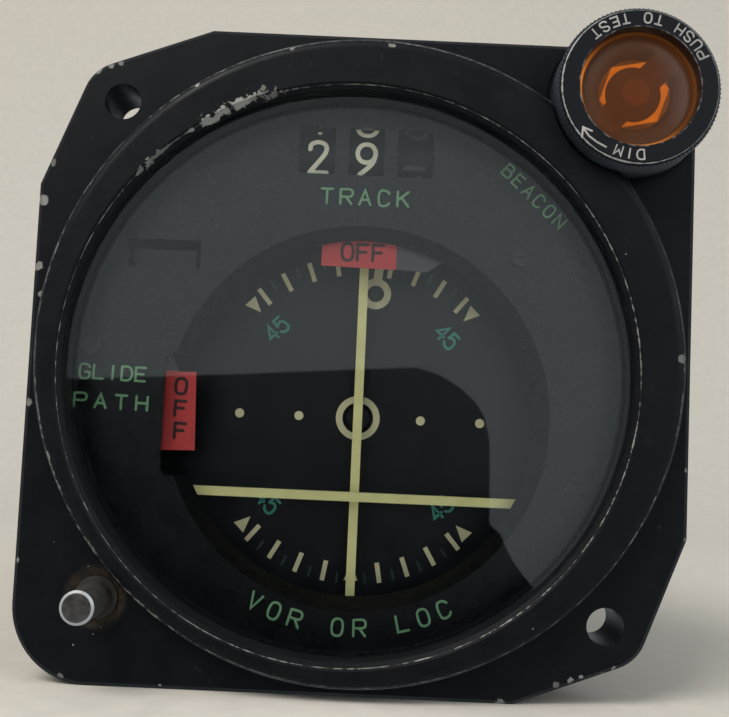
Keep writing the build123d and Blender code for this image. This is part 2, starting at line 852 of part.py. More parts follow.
def contrate_pinion():
    """Wide pinion whose teeth run in the face teeth of the contrate wheel."""
    pinion = gear(
        contrate_pinion_teeth, gear_depth, gear_rear + 0.6, contrate_pinion_place, contrate_pinion_phase
    )
    return pinion + rod(arbor_radius, plate_depth, bridge_depth + bridge_thickness, *contrate_pinion_place)


def cross_gear(teeth, x0, x1, y, depth, phase):
    """Spur gear with its axis along x; its phase counts from the depth direction towards y."""
    return Pos(x0, y, -depth) * Rot(0, 90, 0) * extrude(gear_outline(teeth, phase), x1 - x0)


def contrate_wheel():
    """Disc with teeth on its left face, cut to run with the contrate pinion."""
    radius = pitch_radius(contrate_teeth)
    tip_x = contrate_pinion_place[0] + pitch_radius(contrate_pinion_teeth) - 0.6 * gear_module
    disc_x = tip_x + 1.6 * gear_module
    disc = cross_rod(radius + 0.6, disc_x, disc_x + 1.2, cross_shaft_y, cross_shaft_depth)
    lead = radians(contrate_pinion_phase) * pitch_radius(contrate_pinion_teeth) + pitch_step / 2
    teeth = []
    for tooth in range(contrate_teeth):
        angle = 180.0 - degrees(lead / radius) + 360.0 * tooth / contrate_teeth
        stub = Pos(radius, 0, 0) * loft(
            [Rectangle(1.2, 0.52 * pitch_step), Pos(0, 0, disc_x - tip_x) * Rectangle(1.2, 0.24 * pitch_step)]
        )
        teeth.append(Rot(0, 0, angle) * stub)
    ring = Pos(disc_x, cross_shaft_y, -cross_shaft_depth) * Rot(0, 90, 0) * Rot(180, 0, 0)
    mirrored = [ring * mirror(tooth, Plane.XZ) for tooth in teeth]
    wheel = disc
    for tooth in mirrored:
        wheel += tooth
    return wheel


def cross_shaft():
    """Shaft across the counter frame with the contrate wheel and a spur at its right."""
    left = contrate_pinion_place[0] + pitch_radius(contrate_pinion_teeth) + 0.5
    right = gear_x + cheek_thickness + 1.5
    shaft = cross_rod(1.0, left, right, cross_shaft_y, cross_shaft_depth)
    spur = cross_gear(
        cross_spur_teeth, gear_x, gear_x + 1.0, cross_shaft_y, cross_shaft_depth, cross_spur_phase
    )
    return shaft + spur + contrate_wheel()


drum_right = slot_x + slot_pitch + drum_width / 2
drum_left = slot_x - slot_pitch - drum_width / 2
gear_x = drum_right + 0.15
left_cheek = drum_left - 0.4 - cheek_thickness
right_cheek = gear_x + 1.3


def gear_bridge():
    """Plate behind the gears with the rear bearings of their arbors."""
    near, far = bridge_depth, bridge_depth + bridge_thickness
    outline = bar(idler_place, transfer_place, 6) + bar(transfer_place, upper_place, 6)
    outline += bar(upper_place, contrate_pinion_place, 6)
    for place, anchor in zip(bridge_posts_places, (idler_place, transfer_place, transfer_place)):
        outline += bar(anchor, place, 4)
    bridge = slab(outline, near, far)
    for place in (idler_place, transfer_place, upper_place, contrate_pinion_place):
        bridge -= rod(arbor_radius + running_gap, near, far, *place)
    return bridge


bridge_posts_places = ((-14.5, -24.5), (-33.0, 1.4), (-7.5, 1.6))


def bridge_posts():
    """Posts between the front plate and the gear bridge."""
    return around(bridge_posts_places, lambda x, y: rod(1.4, plate_rear, bridge_depth, x, y))


# Course counter

def drum(column):
    """Counter drum with a recess in each side."""
    middle = slot_x + column * slot_pitch
    left, right = middle - drum_width / 2, middle + drum_width / 2
    body = cross_rod(drum_radius, left, right, drum_y, drum_depth)
    bore = drum_radius - drum_wall
    hollow = cross_rod(bore, left, left + drum_recess, drum_y, drum_depth)
    hollow += cross_rod(bore, right - drum_recess, right, drum_y, drum_depth)
    hub = cross_rod(drum_hub_radius, left, right, drum_y, drum_depth)
    body = body - (hollow - hub)
    return body - cross_rod(axle_radius + running_gap, left - 1, right + 1, drum_y, drum_depth)


def units_drum():
    """Right drum with the counter gear on its side."""
    middle = slot_x + slot_pitch
    far = gear_x + counter_gear_width
    side = cross_gear(counter_teeth, gear_x, far, drum_y, drum_depth, counter_gear_phase)
    hub = cross_rod(drum_hub_radius, middle, gear_x + counter_gear_width / 2, drum_y, drum_depth)
    body = drum(1) + side + hub
    return body - cross_rod(axle_radius + running_gap, middle - 5, gear_x + 3, drum_y, drum_depth)


def counter_axle():
    """Fixed axle of the three drums."""
    return cross_rod(axle_radius, left_cheek, right_cheek + cheek_thickness, drum_y, drum_depth)


def counter_frame():
    """Two cheeks and a rear web, with feet on the front plate."""
    low, high = cross_shaft_y - 2.0, drum_y + 4.6
    web_depth = cross_shaft_depth + 2.4
    far = web_depth + cheek_thickness
    near = drum_depth - 4.0
    frame = block(left_cheek, left_cheek + cheek_thickness, low, high, near, far)
    frame += block(right_cheek, right_cheek + cheek_thickness, low, high, near, far)
    web_low = cross_shaft_y + pitch_radius(cross_spur_teeth) + 0.6
    frame += block(left_cheek, right_cheek + cheek_thickness, web_low, high, web_depth, far)
    foot_y0 = drum_y - 0.6
    frame += block(left_cheek - 4.6, left_cheek + 0.1, foot_y0, high, plate_rear, plate_rear + 1.2)
    right_side = right_cheek + cheek_thickness
    frame += block(right_side - 0.1, right_side + 4.4, foot_y0, high, plate_rear, plate_rear + 1.2)
    frame -= cross_rod(axle_radius, -30, 30, drum_y, drum_depth)
    frame -= cross_rod(1.0 + running_gap, -30, 30, cross_shaft_y, cross_shaft_depth)
    return frame & rod(plate_radius - 1.0, 0, 60)


# Chassis

def front_plate():
    """Main plate against the spigot, pierced for the counter, the needle arms and the arbors."""
    near, far = plate_depth, plate_rear
    outline = Circle(plate_radius)
    window_left = left_cheek - 0.5
    window_right = right_cheek + cheek_thickness + 0.5
    window = Pos((window_left + window_right) / 2, 29) * Rectangle(window_right - window_left, 19.6)
    outline -= window & Circle(cavity_radius - 0.1)
    swing = 16.6
    outline -= Pos(0, needle_top) * Rectangle(2 * swing, 3.0)
    outline -= Pos(glide_axis_x + arm_level, dial_y) * Rectangle(2.0, 2 * swing + 2.4)
    plate = slab(outline, near, far)
    for place in (idler_place, transfer_place, upper_place, contrate_pinion_place):
        plate -= rod(arbor_radius + running_gap, near, far, *place)
    plate -= rod(pointer_hub_radius + running_gap, near, far, dial_x, dial_y)
    for place in on_circle(plate_screw_circle, plate_screw_angles):
        plate -= rod(0.95, near, far, *place)
    return plate


def plate_screws():
    """Screws through the front plate into the casting."""
    def screw(x, y):
        far = plate_rear + plate_screw_head_height
        head = rod(plate_screw_head, plate_rear, far, x, y)
        slot = block(x - 2, x + 2, y - 0.2, y + 0.2, far - plate_screw_slot, far)
        shank = rod(plate_screw_radius, plate_depth - plate_screw_length, plate_rear, x, y)
        return head + shank - slot
    return around(on_circle(plate_screw_circle, plate_screw_angles), screw)


def mid_plate():
    """Plate that carries the rear of both synchros, cut open for the needle arms."""
    near, far = mid_plate_depth, mid_plate_depth + plate_thickness
    outline = Circle(plate_radius - 1.5)
    outline -= Pos(0, arm_level + 3) * Rectangle(16, 13)
    outline -= Pos(glide_axis_x + arm_level, dial_y) * Rectangle(3.6, 17)
    outline -= Pos(0, -26) * Rectangle(22, 8)
    outline -= Pos(0, 27) * Rectangle(18, 7)
    return slab(outline, near, far) - around(
        post_places, lambda x, y: rod(post_radius + 0.01, near, far, x, y)
    )


def rear_plate():
    """Plate at the end of the posts, carrying both needle movements."""
    near, far = rear_plate_depth, rear_plate_depth + plate_thickness
    outline = Circle(plate_radius - 1.5) - Pos(-20, -14) * Rectangle(14, 18)
    return slab(outline, near, far)


def chassis_posts():
    """Long posts from the front plate to the rear plate."""
    return around(post_places, lambda x, y: rod(post_radius, plate_rear, rear_plate_depth, x, y))


def synchro(place, radius, shaft_radius_in):
    """Synchro body standing in front of the mid plate, with a hole for the driven shaft."""
    neck = rod(radius - 2.5, synchro_depth, synchro_depth + 2.5, *place)
    body = rod(radius, synchro_depth + 2.5, mid_plate_depth, *place)
    for ring_depth in (mid_plate_depth - 4, mid_plate_depth - 9):
        body -= tube(radius + 1, radius - 0.6, ring_depth, ring_depth + 1.2, *place)
    hole = rod(shaft_radius_in + running_gap, synchro_depth - 1, synchro_depth + 5.8, *place)
    return neck + body - hole


# Rear case and connector

def rear_case():
    """Drawn round case that slips over the spigot, closed at the rear."""
    outer = rod(case_radius, flange_thickness, case_end)
    outer = fillet(outer.faces().sort_by(Axis.Z)[0].edges(), 3.0)
    inner = rod(case_bore, flange_thickness - 1, case_end - case_wall)
    inner = fillet(inner.faces().sort_by(Axis.Z)[0].edges(), 3.0 - case_wall)
    case = outer - inner
    case -= rod(connector_radius - 0.8, case_end - 5, case_end + 1)
    for angle in (0, 90, 180, 270):
        case -= case_screw(angle)
    return case


def case_screw(angle):
    """Countersunk screw along the case radius."""
    head = Pos(case_radius - 1.2, 0, 0) * Rot(0, 90, 0) * Cone(1.0, 2.2, 1.2, align=UP)
    shank = Pos(cavity_radius + 0.1, 0, 0) * Rot(0, 90, 0) * Cylinder(
        1.0, case_radius - cavity_radius - 0.3, align=UP
    )
    return Pos(0, 0, -case_screw_depth) * Rot(0, 0, angle) * (head + shank)


def case_screws():
    """Four screws that hold the case on the spigot."""
    screws = []
    for angle in (0, 90, 180, 270):
        slot = Pos(case_radius, 0, 0) * Box(0.8, 5.0, 0.45)
        slot = Pos(0, 0, -case_screw_depth) * Rot(0, 0, angle) * slot
        screws.append(case_screw(angle) - slot)
    return Compound(screws)


connector_screw_places = [
    (sx * connector_flange * 0.39, sy * connector_flange * 0.39) for sx in (-1, 1) for sy in (-1, 1)
]


def connector_shell():
    """Receptacle with a square flange and a keyed round barrel."""
    plate = Rectangle(connector_flange, connector_flange)
    plate = fillet(plate.vertices(), connector_corner)
    bore = connector_radius - connector_wall
    mouth = case_end + connector_length
    shell = slab(plate, case_end, case_end + connector_plate)
    shell += rod(connector_radius, case_end, mouth)
    shell += rod(connector_radius - connector_spigot_step, case_end - case_wall - 5, case_end)
    shell -= rod(bore, case_end - 20, mouth + 1)
    key_low, key_high = bore - connector_key_reach, bore + 0.2
    shell += block(-connector_key_half, connector_key_half, key_low, key_high, case_end + 3, mouth - 1)
    for place in connector_screw_places:
        shell -= rod(connector_hole, case_end, case_end + connector_plate, *place)
    return shell


def connector_insert():
    """Insulating disc that carries the contacts."""
    near, far = case_end + insert_near, case_end + insert_far
    bore = connector_radius - connector_wall
    insert = rod(bore, near, far)
    slot_half, slot_low = connector_key_half + 0.05, bore - connector_key_reach - 0.1
    insert -= block(-slot_half, slot_half, slot_low, connector_radius, case_end + 2.9, far + 1)
    for x, y in contact_places():
        insert -= rod(contact_radius, near, far, x, y)
    return insert


def contact_places():
    """Contacts in rings about the middle."""
    places = [(0.0, 0.0)]
    for count, radius in contact_rings:
        step = 360.0 / count
        places += on_circle(radius, [step * (k + 0.5) for k in range(count)])
    return [p for p in places if not (p[1] > 7.6 and abs(p[0]) < 2.4)]


def connector_pins():
    """Contact pins."""
    return around(
        contact_places(),
        lambda x, y: rod(contact_radius, case_end - 8, case_end + 9, x, y),
    )


def connector_screws():
    """Screws of the receptacle, into the end of the case."""
    def screw(x, y):
        seat = case_end + connector_plate
        far = seat + connector_screw_head_height
        head = rod(connector_screw_head, seat, far, x, y)
        slot = block(x - 3, x + 3, y - 0.25, y + 0.25, far - connector_screw_slot, far)
        return head + rod(connector_screw_radius, case_end, seat, x, y) - slot
    return around(connector_screw_places, screw)


# Marker lamp: press to test, turn the cap to dim

def lamp_housing():
    """Fixed barrel through the flange corner, with a step in front and a closed rear."""
    front = rod(lamp_neck_radius + 1.6, -lamp_step, lamp_seat_depth, *lamp_place)
    barrel = rod(lamp_neck_radius, lamp_seat_depth, lamp_length, *lamp_place)
    bore = rod(socket_radius + running_gap, -lamp_step, collar_depth, *lamp_place)
    spring_room = rod(socket_radius + collar_step, collar_depth, lamp_length - lamp_wall, *lamp_place)
    rear_hole = rod(contact_plug_radius, lamp_length - 2, lamp_length, *lamp_place)
    return front + barrel - bore - spring_room - rear_hole


def lamp_nut():
    """Slotted ring nut behind the flange."""
    near, far = flange_thickness, flange_thickness + 2.4
    nut = tube(lamp_neck_radius + 1.3, lamp_neck_radius, near, far, *lamp_place)
    slots = block(lamp_x - 9, lamp_x + 9, lamp_y - 0.9, lamp_y + 0.9, far - 1.0, far)
    return nut - slots


def lamp_contact():
    """Rear terminal in an insulating plug."""
    plug = rod(contact_plug_radius, lamp_length - 2.6, lamp_length + 4.5, *lamp_place)
    return plug + rod(contact_plug_radius + 1.1, lamp_length, lamp_length + 1.0, *lamp_place)


def lamp_spring():
    """Return spring between the closed rear of the barrel and the socket."""
    rear = lamp_length - lamp_wall - 0.05
    front = socket_rear + 0.1
    height = rear - front - 2 * spring_wire
    path = Helix(height / spring_turns, height, socket_radius - 0.9)
    section = Plane(path @ 0, z_dir=path % 0) * Circle(spring_wire)
    return Pos(lamp_x, lamp_y, -(rear - spring_wire)) * sweep(section, path, is_frenet=True)


def lamp_socket():
    """Sliding socket that carries the bulb and the cap, kept in by a collar at its rear."""
    sleeve = rod(socket_radius, -socket_reach, socket_rear, *lamp_place)
    sleeve += rod(socket_radius + collar_step - 0.1, collar_depth + 0.05, socket_rear, *lamp_place)
    return sleeve - rod(bulb_radius, -socket_reach, bulb_rear, *lamp_place)


def lamp_bulb():
    """Small bulb: metal base with a solder tip, and a round glass."""
    base = rod(bulb_radius, 0, bulb_rear, *lamp_place)
    base = base - tube(bulb_radius + 1, bulb_radius - 0.4, 2.0, 3.0, *lamp_place)
    glass = rod(bulb_radius - 0.4, -socket_reach + 0.5, 0, *lamp_place)
    return base + fillet(glass.faces().sort_by(Axis.Z)[-1].edges(), 1.9)


def lamp_diffuser():
    """Six-sided bright plate in the mouth of the socket."""
    outline = Pos(*lamp_place) * Rot(0, 0, diffuser_angle) * RegularPolygon(diffuser_radius, 6)
    return slab(outline, -socket_reach - plate_foil, -socket_reach)


def lamp_cap():
    """Round cap: front ring with a lip for the lens, deep skirt, and a hub that turns on the socket."""
    cap = rod(lamp_cap_radius, -lamp_cap_front, -lamp_cap_rear, *lamp_place)
    cap = chamfer(cap.edges().filter_by(GeomType.CIRCLE), 0.45)
    cap -= rod(lens_radius, -lamp_cap_front, -lamp_cap_rear, *lamp_place)
    cap -= rod(lens_radius + lens_lip, -lens_front, -lamp_cap_rear, *lamp_place)
    wall = lens_radius + lens_lip
    web = tube(wall + 0.1, socket_radius + running_gap, -web_front, -web_front + 1.2, *lamp_place)
    hub = tube(socket_radius + 1.1, socket_radius + running_gap, -web_front, -web_front + 1.5, *lamp_place)
    return cap + web + hub


def lamp_lens():
    """Amber lens with a low dome, behind the lip of the cap."""
    rim = rod(lens_radius + lens_lip - 0.05, -lens_front, -lens_front + 0.8, *lamp_place)
    width = lens_radius - 0.05
    sphere_radius = (width ** 2 + lens_dome ** 2) / (2 * lens_dome)
    dome = Pos(lamp_x, lamp_y, lens_front + lens_dome - sphere_radius) * Sphere(sphere_radius)
    return rim + (dome & rod(width, -lens_front - 2, -lens_front + 0.8, *lamp_place))


def dimmer_shutter():
    """Dark round shutter with two wings that rest in the cap, so that it turns with it."""
    disc = Pos(lamp_x + shutter_shift[0], lamp_y + shutter_shift[1]) * Circle(shutter_radius)
    reach = lens_radius + lens_lip
    wings = Pos(*lamp_place) * (Rot(0, 0, shutter_angle) * Rectangle(2 * reach, shutter_wing) & Circle(reach))
    near = -lens_front + 0.85
    return slab(disc + wings, near, near + plate_foil)


# Each node's name, its maker and what it is called with
NODES = {
    "bezel_casting": bezel_casting,
    "glass_gasket": glass_gasket,
    "cover_glass": cover_glass,
    "glass_clamp_ring": glass_clamp_ring,
    "dial_mask": dial_mask,
    "small_screws": small_screws,
    "mask_posts": mask_posts,
    "dial_plate": dial_plate,
    "dial_spacers": dial_spacers,
    "heading_pointer": heading_pointer,
    "course_flag": course_flag,
    "glide_flag": glide_flag,
    "to_from_vane": to_from_vane,
    "flag_meters": flag_meters,
    "to_from_meter": lambda: flag_meter(vane_pivot, vane_meter_radius, vane_meter_face),
    "course_needle": course_needle,
    "course_magnet": lambda: at_course_axis(movement_magnet()),
    "course_frame": lambda: at_course_axis(movement_frame()),
    "glide_needle": glide_needle,
    "glide_magnet": lambda: at_glide_axis(movement_magnet()),
    "glide_frame": glide_frame,
    "course_bush": course_bush,
    "course_shaft": course_shaft,
    "course_pinion": course_pinion,
    "pinion_cover": pinion_cover,
    "idler_gear": idler_gear,
    "transfer_gear": transfer_gear,
    "upper_transfer_gear": upper_transfer_gear,
    "contrate_pinion": contrate_pinion,
    "cross_shaft": cross_shaft,
    "gear_bridge": gear_bridge,
    "bridge_posts": bridge_posts,
    "units_drum": units_drum,
    "tens_drum": lambda: drum(0),
    "hundreds_drum": lambda: drum(-1),
    "counter_axle": counter_axle,
    "counter_frame": counter_frame,
    "front_plate": front_plate,
    "plate_screws": plate_screws,
    "mid_plate": mid_plate,
    "rear_plate": rear_plate,
    "chassis_posts": chassis_posts,
    "heading_synchro": lambda: synchro((dial_x, dial_y), heading_synchro_radius, 1.5),
    "course_resolver": lambda: synchro(transfer_place, resolver_radius, arbor_radius),
    "rear_case": rear_case,
    "case_screws": case_screws,
    "connector_shell": connector_shell,
    "connector_insert": connector_insert,
    "connector_pins": connector_pins,
    "connector_screws": connector_screws,
    "lamp_housing": lamp_housing,
    "lamp_nut": lamp_nut,
    "lamp_contact": lamp_contact,
    "lamp_spring": lamp_spring,
    "lamp_socket": lamp_socket,
    "lamp_bulb": lamp_bulb,
    "lamp_diffuser": lamp_diffuser,
    "lamp_cap": lamp_cap,
    "lamp_lens": lamp_lens,
    "dimmer_shutter": dimmer_shutter,
}

os.makedirs("parts", exist_ok=True)
for name, make in NODES.items():
    export_step(TURN_UPRIGHT * make(), f"parts/{name}.step")
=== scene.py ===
import math

import bmesh
import bpy
from mathutils import Euler, Matrix, Vector


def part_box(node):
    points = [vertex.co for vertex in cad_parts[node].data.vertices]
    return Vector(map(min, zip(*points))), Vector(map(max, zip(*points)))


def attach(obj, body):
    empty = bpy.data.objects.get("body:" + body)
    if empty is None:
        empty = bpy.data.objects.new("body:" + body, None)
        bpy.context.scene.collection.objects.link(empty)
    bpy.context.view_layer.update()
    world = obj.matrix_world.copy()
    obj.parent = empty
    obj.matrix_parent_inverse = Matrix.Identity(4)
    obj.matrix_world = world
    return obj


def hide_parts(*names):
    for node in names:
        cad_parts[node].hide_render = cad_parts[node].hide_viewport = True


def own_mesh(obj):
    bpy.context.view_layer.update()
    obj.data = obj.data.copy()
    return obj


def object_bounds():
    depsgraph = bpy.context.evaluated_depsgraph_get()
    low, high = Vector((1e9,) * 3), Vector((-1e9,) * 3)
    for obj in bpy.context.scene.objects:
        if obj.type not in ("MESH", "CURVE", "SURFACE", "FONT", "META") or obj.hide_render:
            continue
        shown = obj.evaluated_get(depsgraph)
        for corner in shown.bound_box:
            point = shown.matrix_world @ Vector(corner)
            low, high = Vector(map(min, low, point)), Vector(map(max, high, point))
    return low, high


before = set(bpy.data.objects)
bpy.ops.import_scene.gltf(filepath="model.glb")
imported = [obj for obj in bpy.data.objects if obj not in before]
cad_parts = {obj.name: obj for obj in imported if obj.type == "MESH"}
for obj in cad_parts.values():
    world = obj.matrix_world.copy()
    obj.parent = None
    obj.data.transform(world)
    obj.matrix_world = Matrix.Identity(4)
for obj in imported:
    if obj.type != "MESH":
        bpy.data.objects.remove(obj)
cad_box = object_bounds()

# Aircraft course indicator: the looks around its CAD frame. Sizes are in millimetres on the
# face, seen from the front: x to the right, y up, depth into the case. MM turns them to metres.

MM = 0.001


def at(x, y, depth):
    """A place on the face, as a point of the frame in metres."""
    return Vector((x * MM, depth * MM, y * MM))


def node_box(name):
    """Left, right, bottom, top, near and far side of a CAD node, in millimetres."""
    low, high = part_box(name)
    return (low.x / MM, high.x / MM, low.z / MM, high.z / MM, low.y / MM, high.y / MM)


def middle(box):
    """Middle of a node's box, across and up."""
    return (box[0] + box[1]) / 2, (box[2] + box[3]) / 2


# Places taken from the frame, and the radii that a box doesn't tell
mask_face = node_box("dial_mask")[4]
dial_face = node_box("dial_plate")[4]
dial_x, dial_y = middle(node_box("dial_plate"))
flag_face = node_box("course_flag")[4]
vane_face = node_box("to_from_vane")[4]
glass_face = node_box("cover_glass")[4]
glass_x, glass_y = middle(node_box("cover_glass"))
ring_face = node_box("bezel_casting")[4]
RING_RADIUS = 39.7
EDGE_ROUND = 1.3
OPENING_RADIUS = 34.9
lamp_box = node_box("lamp_cap")
lamp_x, lamp_y = middle(lamp_box)
lamp_radius = (lamp_box[1] - lamp_box[0]) / 2
lamp_front, lamp_rear = lamp_box[4], lamp_box[5]
LENS_RADIUS = 7.3
shaft_box = node_box("course_shaft")
shaft_x, shaft_y = middle(shaft_box)
shaft_tip = shaft_box[4]
SHAFT_TIP_RADIUS = 2.0
drum_box = node_box("tens_drum")
drum_radius = (drum_box[3] - drum_box[2]) / 2
drum_middle, drum_y = middle(drum_box)
drum_depth = (drum_box[4] + drum_box[5]) / 2


# Camera, from the photograph's own perspective: its place across, up and deep, and its turns in degrees

PHOTO_WIDTH, PHOTO_HEIGHT = 729, 717
SENSOR = 36.0
LENS = 56.33
CAMERA_PLACE = (0.589, -11.087, -141.523)
CAMERA_TURN = (94.548, -2.550, -0.191)

camera_data = bpy.data.cameras.new("camera")
camera_data.lens = LENS
camera_data.sensor_width = SENSOR
camera_data.clip_start = 0.01
camera = bpy.data.objects.new("camera", camera_data)
camera.location = at(*CAMERA_PLACE)
camera.rotation_euler = Euler([math.radians(a) for a in CAMERA_TURN], "XYZ")
bpy.context.collection.objects.link(camera)
bpy.context.scene.camera = camera
camera_matrix = Matrix.LocRotScale(camera.location, camera.rotation_euler, None)


def seen_at(u, v, depth):
    """Face x and y of the point at a given depth that the photograph shows at pixel u, v."""
    pixel = SENSOR / PHOTO_WIDTH / LENS
    ray = Vector(((u - PHOTO_WIDTH / 2) * pixel, (PHOTO_HEIGHT / 2 - v) * pixel, -1.0))
    ray = camera_matrix.to_3x3() @ ray
    start = camera.location
    reach = (depth * MM - start.y) / ray.y
    hit = start + ray * reach
    return hit.x / MM, hit.z / MM


# Material building

class Shade:
    """A material's node tree, with short calls for the nodes that the looks need."""

    def __init__(self, name):
        self.material = bpy.data.materials.new(name)
        self.material.use_nodes = True
        self.tree = self.material.node_tree
        self.tree.nodes.clear()
        self.output = self.node("OutputMaterial")
        self.place = self.node("TexCoord").outputs["Object"]
        axes = self.node("SeparateXYZ", Vector=self.place).outputs
        self.across, self.up, self.deep = axes["X"], axes["Z"], axes["Y"]

    def put(self, socket, value):
        """Sets a socket to a value, or links it to another node's output."""
        if isinstance(value, bpy.types.NodeSocket):
            self.tree.links.new(value, socket)
        elif isinstance(value, tuple) and len(value) == 3 and socket.type == "RGBA":
            socket.default_value = (*value, 1.0)
        else:
            socket.default_value = value

    def node(self, kind, settings=None, **inputs):
        """A node with settings, and its inputs by name."""
        new = self.tree.nodes.new("ShaderNode" + kind)
        for key, value in (settings or {}).items():
            setattr(new, key, value)
        for key, value in inputs.items():
            self.put(new.inputs[key.replace("_", " ")], value)
        return new

    def numbered(self, kind, settings, inputs, output=0):
        """Output of a node with settings, and its inputs by number."""
        new = self.node(kind, settings)
        for number, value in inputs.items():
            self.put(new.inputs[number], value)
        return new.outputs[output]

    def math(self, operation, a, b=0.0):
        return self.numbered("Math", {"operation": operation}, {0: a, 1: b})

    def multiply(self, a, b):
        return self.math("MULTIPLY", a, b)

    def subtract(self, a, b):
        return self.math("SUBTRACT", a, b)

    def larger(self, a, b):
        return self.math("MAXIMUM", a, b)

    def vector_math(self, operation, a, b):
        return self.numbered("VectorMath", {"operation": operation}, {0: a, 1: b}, "Value")

    def noise(self, scale, detail=4.0, rough=0.55, vector=None):
        place = vector or self.place
        new = self.node("TexNoise", Vector=place, Scale=scale, Detail=detail, Roughness=rough)
        return new.outputs["Fac"]

    def ramp(self, value, low, high, out_low=0.0, out_high=1.0):
        """Smooth step from one value to another between low and high."""
        inputs = {0: value, 1: low, 2: high, 3: out_low, 4: out_high}
        return self.numbered("MapRange", {"interpolation_type": "SMOOTHSTEP"}, inputs)

    def fade(self, distance, start, end, out_low=0.0, out_high=1.0):
        """The same step for a distance in metres, between two sizes in millimetres."""
        return self.ramp(distance, start * MM, end * MM, out_low, out_high)

    def mottle(self, scale=260.0, detail=5.0, rough=0.55, low=0.3, high=0.7):
        """Cloudy mask of a given scale."""
        return self.ramp(self.noise(scale, detail, rough), low, high)

    def mix(self, share, a, b):
        """Mix of two colours."""
        return self.numbered("Mix", {"data_type": "RGBA"}, {0: share, 6: a, 7: b}, 2)

    def blend(self, share, a, b):
        """Mix of two numbers."""
        return self.numbered("Mix", {}, {0: share, 2: a, 3: b})

    def layered(self, share, under, over):
        """Mix of two shaders."""
        return self.numbered("MixShader", {}, {0: share, 1: under, 2: over})

    def length(self, a, b):
        """Longest side of a right-angled triangle whose other sides are a and b."""
        return self.math("SQRT", self.math("ADD", self.multiply(a, a), self.multiply(b, b)))

    def offset(self, x, y):
        """Distances across and up from the line through x, y straight into the face, in metres."""
        return self.subtract(self.across, x * MM), self.subtract(self.up, y * MM)

    def from_axis(self, x, y):
        """Distance in metres from the line through x, y straight into the face."""
        return self.length(*self.offset(x, y))

    def angle_about(self, x, y):
        """Angle round the line through x, y, in radians from the right."""
        dx, dy = self.offset(x, y)
        return self.math("ARCTAN2", dy, dx)

    def from_circle(self, x, y, radius, depth):
        """Distance in metres from a circle drawn on the face."""
        off = self.subtract(self.from_axis(x, y), radius * MM)
        return self.length(off, self.subtract(self.deep, depth * MM))

    def noise_along(self, x, y, z, scale):
        """Noise stretched along the axes."""
        line = self.node("CombineXYZ", X=x, Y=y, Z=z)
        return self.noise(scale, 2.0, vector=line.outputs[0])

    def lathe_marks(self, per_metre):
        """Fine rings about the depth axis."""
        return self.noise_along(0.0, self.multiply(self.deep, per_metre), 0.0, 1.0)

    def bump(self, height, distance, strength=1.0):
        """Normal for a height, whose full range is a distance in millimetres."""
        return self.node("Bump", Height=height, Distance=distance * MM, Strength=strength).outputs[0]

    def shader(self, kind, **inputs):
        return self.node(kind, **inputs).outputs[0]

    def finished(self, shader):
        """The material, with the shader as its surface."""
        self.put(self.output.inputs["Surface"], shader)
        return self.material

    def surface(self, **inputs):
        """The material, with a plain surface."""
        return self.finished(self.shader("BsdfPrincipled", **inputs))


def grain(shade, size, depth):
    """Fine uneven surface with bumps of a given size, in millimetres."""
    return shade.bump(shade.noise(1.0 / (size * MM), 3.0), depth)


def toned(color, share):
    """A colour made darker or lighter, up to white."""
    return tuple(min(1.0, c * share) for c in color)


def plain_paint(name, color, rough=0.5, vary=0.25, grain_size=0.5, grain_depth=0.02, shine=0.5):
    """Paint or plastic with a slight mottle and a fine grain."""
    shade = Shade(name)
    mottle = shade.mottle()
    return shade.surface(
        Base_Color=shade.mix(mottle, toned(color, 1.0 - vary), toned(color, 1.0 + vary)),
        Roughness=shade.blend(mottle, rough * 0.85, min(1.0, rough * 1.15)),
        Specular_IOR_Level=shine,
        Normal=grain(shade, grain_size, grain_depth),
    )


def satin_black(name, color, rough, shine):
    """Smooth satin paint whose mottle changes its colour and gloss but raises no grain."""
    shade = Shade(name)
    mottle = shade.mottle()
    return shade.surface(
        Base_Color=shade.mix(mottle, toned(color, 0.8), toned(color, 1.2)),
        Roughness=shade.blend(mottle, rough * 0.9, rough * 1.1),
        Specular_IOR_Level=shine,
    )


def bare_metal(name, color, rough, lathed=False):
    """Metal with fine machining marks, which are rings about the depth axis where a lathe made it."""
    shade = Shade(name)
    marks = shade.lathe_marks(4000.0) if lathed else shade.noise(2500.0, 2.0)
    stain = shade.mottle(180.0, 4.0, low=0.35)
    return shade.surface(
        Base_Color=shade.mix(stain, color, toned(color, 0.6)),
        Metallic=1.0,
        Roughness=shade.blend(stain, rough, min(1.0, rough + 0.2)),
        Normal=shade.bump(marks, 0.01, 0.5),
    )


# Worn black casting: the paint is gone in chips along its edges

BARE = (0.26, 0.255, 0.24)
BLACK_PAINT = (0.0026, 0.0029, 0.0044)
DUSTY_PAINT = (0.0100, 0.0100, 0.0110)
SCRATCHED_PAINT = (0.085, 0.085, 0.085)
SCRATCHED_CASE = (0.12, 0.12, 0.12)
RUST = (0.040, 0.030, 0.022)
CASTING_SHINE = 0.13

